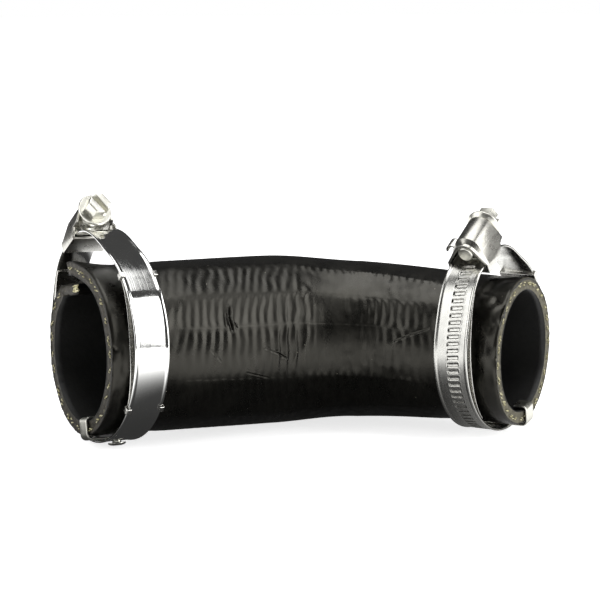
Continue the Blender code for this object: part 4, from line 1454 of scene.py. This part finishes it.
# %% White for the camera
TABLE_COLOUR, GLOW_NEAR, GLOW_FAR = 0.88, 0.75, 1.0
GLOW_STARTS, GLOW_FULL = 0.2, 1.1


def seen_or_mirrored(tree):
    # 1 for rays from the camera and for rays that come by way of a gloss, 0 for all others
    path = tree.nodes.new("ShaderNodeLightPath")
    mirror = maths(tree, "MAXIMUM", path.outputs["Is Glossy Ray"],
                   path.outputs["Is Transmission Ray"])
    return maths(tree, "ADD", path.outputs["Is Camera Ray"], mirror)


def from_middle(tree):
    # How far a point of the object lies from its middle
    place = tree.nodes.new("ShaderNodeTexCoord").outputs["Object"]
    return vector_maths(tree, "LENGTH", place, output="Value")


def pale_sheet(name, colour, near, far):
    material = bpy.data.materials.new(name)
    material.use_nodes = True
    tree = material.node_tree
    tree.nodes.clear()
    surface = tree.nodes.new("ShaderNodeBsdfDiffuse")
    surface.inputs["Color"].default_value = (colour, colour, colour, 1.0)
    away = between(tree, from_middle(tree), GLOW_STARTS, GLOW_FULL)
    glow = maths(tree, "ADD", maths(tree, "MULTIPLY", away, far - near), near)
    light = tree.nodes.new("ShaderNodeEmission")
    strength = maths(tree, "MULTIPLY", seen_or_mirrored(tree), glow)
    tree.links.new(strength, light.inputs["Strength"])
    both = tree.nodes.new("ShaderNodeAddShader")
    out = tree.nodes.new("ShaderNodeOutputMaterial")
    tree.links.new(surface.outputs[0], both.inputs[0])
    tree.links.new(light.outputs[0], both.inputs[1])
    tree.links.new(both.outputs[0], out.inputs["Surface"])
    return material


# %% [markdown]
# The table is one square, far larger than the picture, so that its edge is never seen. It lies
# a hair below the part: two surfaces at the same height would flicker through each other.

# %% Table
TABLE_HALF, TABLE_TOP = 6.0, -0.0002


def flat_square(name, half, material):
    mesh = bpy.data.meshes.new(name)
    mesh.from_pydata([(-half, -half, 0), (half, -half, 0), (half, half, 0), (-half, half, 0)],
                     [], [(0, 1, 2, 3)])
    mesh.materials.append(material)
    return bpy.data.objects.new(name, mesh)


table_white = pale_sheet("table_white", TABLE_COLOUR, GLOW_NEAR, GLOW_FAR)
table = flat_square("table", TABLE_HALF, table_white)
bpy.context.collection.objects.link(table)
table.location.z = TABLE_TOP
print("table:", table.name)

# %% [markdown]
# The background is white in the same way, for the camera and in reflections. It lights the part
# with less than half of that, because black rubber in a fully white room turns grey.

# %% Background
# How strongly the room lights the part, against 1 for how bright the background looks
FILL = 0.4
world = bpy.data.worlds.new("studio")
bpy.context.scene.world = world
world.use_nodes = True
tree = world.node_tree
tree.nodes.clear()
background = tree.nodes.new("ShaderNodeBackground")
background.inputs["Color"].default_value = (1.0, 1.0, 1.0, 1.0)
more = maths(tree, "MULTIPLY", seen_or_mirrored(tree), 1.0 - FILL)
tree.links.new(maths(tree, "ADD", more, FILL), background.inputs["Strength"])
world_out = tree.nodes.new("ShaderNodeOutputWorld")
tree.links.new(background.outputs[0], world_out.inputs["Surface"])
print("background:", world.name)

# %% [markdown]
# Black rubber has hardly any colour of its own: what we see on it is the room. The hose was
# plainly photographed in a dark room and cut out onto white afterwards, because its front
# mirrors darkness above the table's edge, and its underside mirrors its own shade. The two props
# below stand for that room. The camera looks through them and they take away no light or
# shadow: only glossy surfaces know that they are there.

# %% Dark props for the reflections
def mirror_only(prop):
    bpy.context.collection.objects.link(prop)
    prop.visible_camera = False
    prop.visible_diffuse = False
    prop.visible_shadow = False
    prop.visible_volume_scatter = False
    return prop


# %% [markdown]
# The first prop is a round curtain that stands on the table far outside the picture. It glows
# just enough to mirror as a very dark grey instead of black.

# %% Curtain
CURTAIN_RADIUS, CURTAIN_HEIGHT = 1.6, 3.1
CURTAIN_SIDES, CURTAIN_GLOW = 48, 0.06


def make_curtain():
    turn = np.arange(CURTAIN_SIDES) * math.tau / CURTAIN_SIDES
    ring = np.stack([np.sin(turn) * CURTAIN_RADIUS, np.cos(turn) * CURTAIN_RADIUS, 0 * turn], -1)
    points = np.concatenate([ring, ring + (0, 0, CURTAIN_HEIGHT)])
    material = bpy.data.materials.new("curtain_grey")
    material.use_nodes = True
    tree = material.node_tree
    tree.nodes.clear()
    light = tree.nodes.new("ShaderNodeEmission")
    light.inputs["Strength"].default_value = CURTAIN_GLOW
    out = tree.nodes.new("ShaderNodeOutputMaterial")
    tree.links.new(light.outputs[0], out.inputs["Surface"])
    mesh = bpy.data.meshes.new("curtain")
    mesh.from_pydata(points.tolist(), [], grid_faces(2, CURTAIN_SIDES, False, True).tolist())
    mesh.materials.append(material)
    return mirror_only(bpy.data.objects.new("curtain", mesh))


curtain = make_curtain()
print("prop:", curtain.name)

# %% [markdown]
# The second prop is the shade that the part itself puts on the table. It is an oval that thins
# out towards its edge, where the pale table shows.

# %% Shade under the part
PATCH_HALF, PATCH_CENTRE = (0.125, 0.085), (-0.022, 0.0, -0.0001)
PATCH_COLOUR, PATCH_GLOW = (0.004, 0.004, 0.004), 0.035
PATCH_WHOLE, PATCH_GONE = 0.5, 1.1


def make_dark_patch():
    material, tree, shader = new_material("dark_patch", PATCH_COLOUR, 0.5, Specular_IOR_Level=0.1)
    shader.inputs["Emission Strength"].default_value = PATCH_GLOW
    clear = tree.nodes.new("ShaderNodeBsdfTransparent")
    mix = tree.nodes.new("ShaderNodeMixShader")
    tree.links.new(between(tree, from_middle(tree), PATCH_WHOLE, PATCH_GONE), mix.inputs[0])
    tree.links.new(shader.outputs[0], mix.inputs[1])
    tree.links.new(clear.outputs[0], mix.inputs[2])
    tree.links.new(mix.outputs[0], tree.nodes["Material Output"].inputs["Surface"])
    patch = mirror_only(flat_square("dark_patch", 1, material))
    patch.location = PATCH_CENTRE
    patch.scale = (*PATCH_HALF, 1.0)
    return patch


dark_patch = make_dark_patch()
print("prop:", dark_patch.name)

# %% [markdown]
# Three soft boxes: one overhead, a bright one on the right and a weaker one on the left. The
# long stripes on the polished band and the pale ripples on the rubber are their reflections.

# %% Soft boxes
def soft_box(name, place, aim, width, height, power):
    data = bpy.data.lights.new(name, "AREA")
    data.shape = "RECTANGLE"
    data.size = width
    data.size_y = height
    data.energy = power
    lamp = bpy.data.objects.new(name, data)
    lamp.location = place
    lamp.rotation_euler = (Vector(aim) - Vector(place)).to_track_quat("-Z", "Y").to_euler()
    bpy.context.collection.objects.link(lamp)
    return lamp


soft_box("overhead_box", (0.05, 0.04, 1.0), (0.0, 0.0, 0.0), 0.95, 0.7, 3.8)
soft_box("right_box", (1.15, -0.28, 0.58), (0.0, 0.0, 0.1), 1.05, 1.2, 13.5)
soft_box("left_box", (-1.15, -0.3, 0.58), (0.0, 0.0, 0.1), 1.05, 1.2, 8.0)
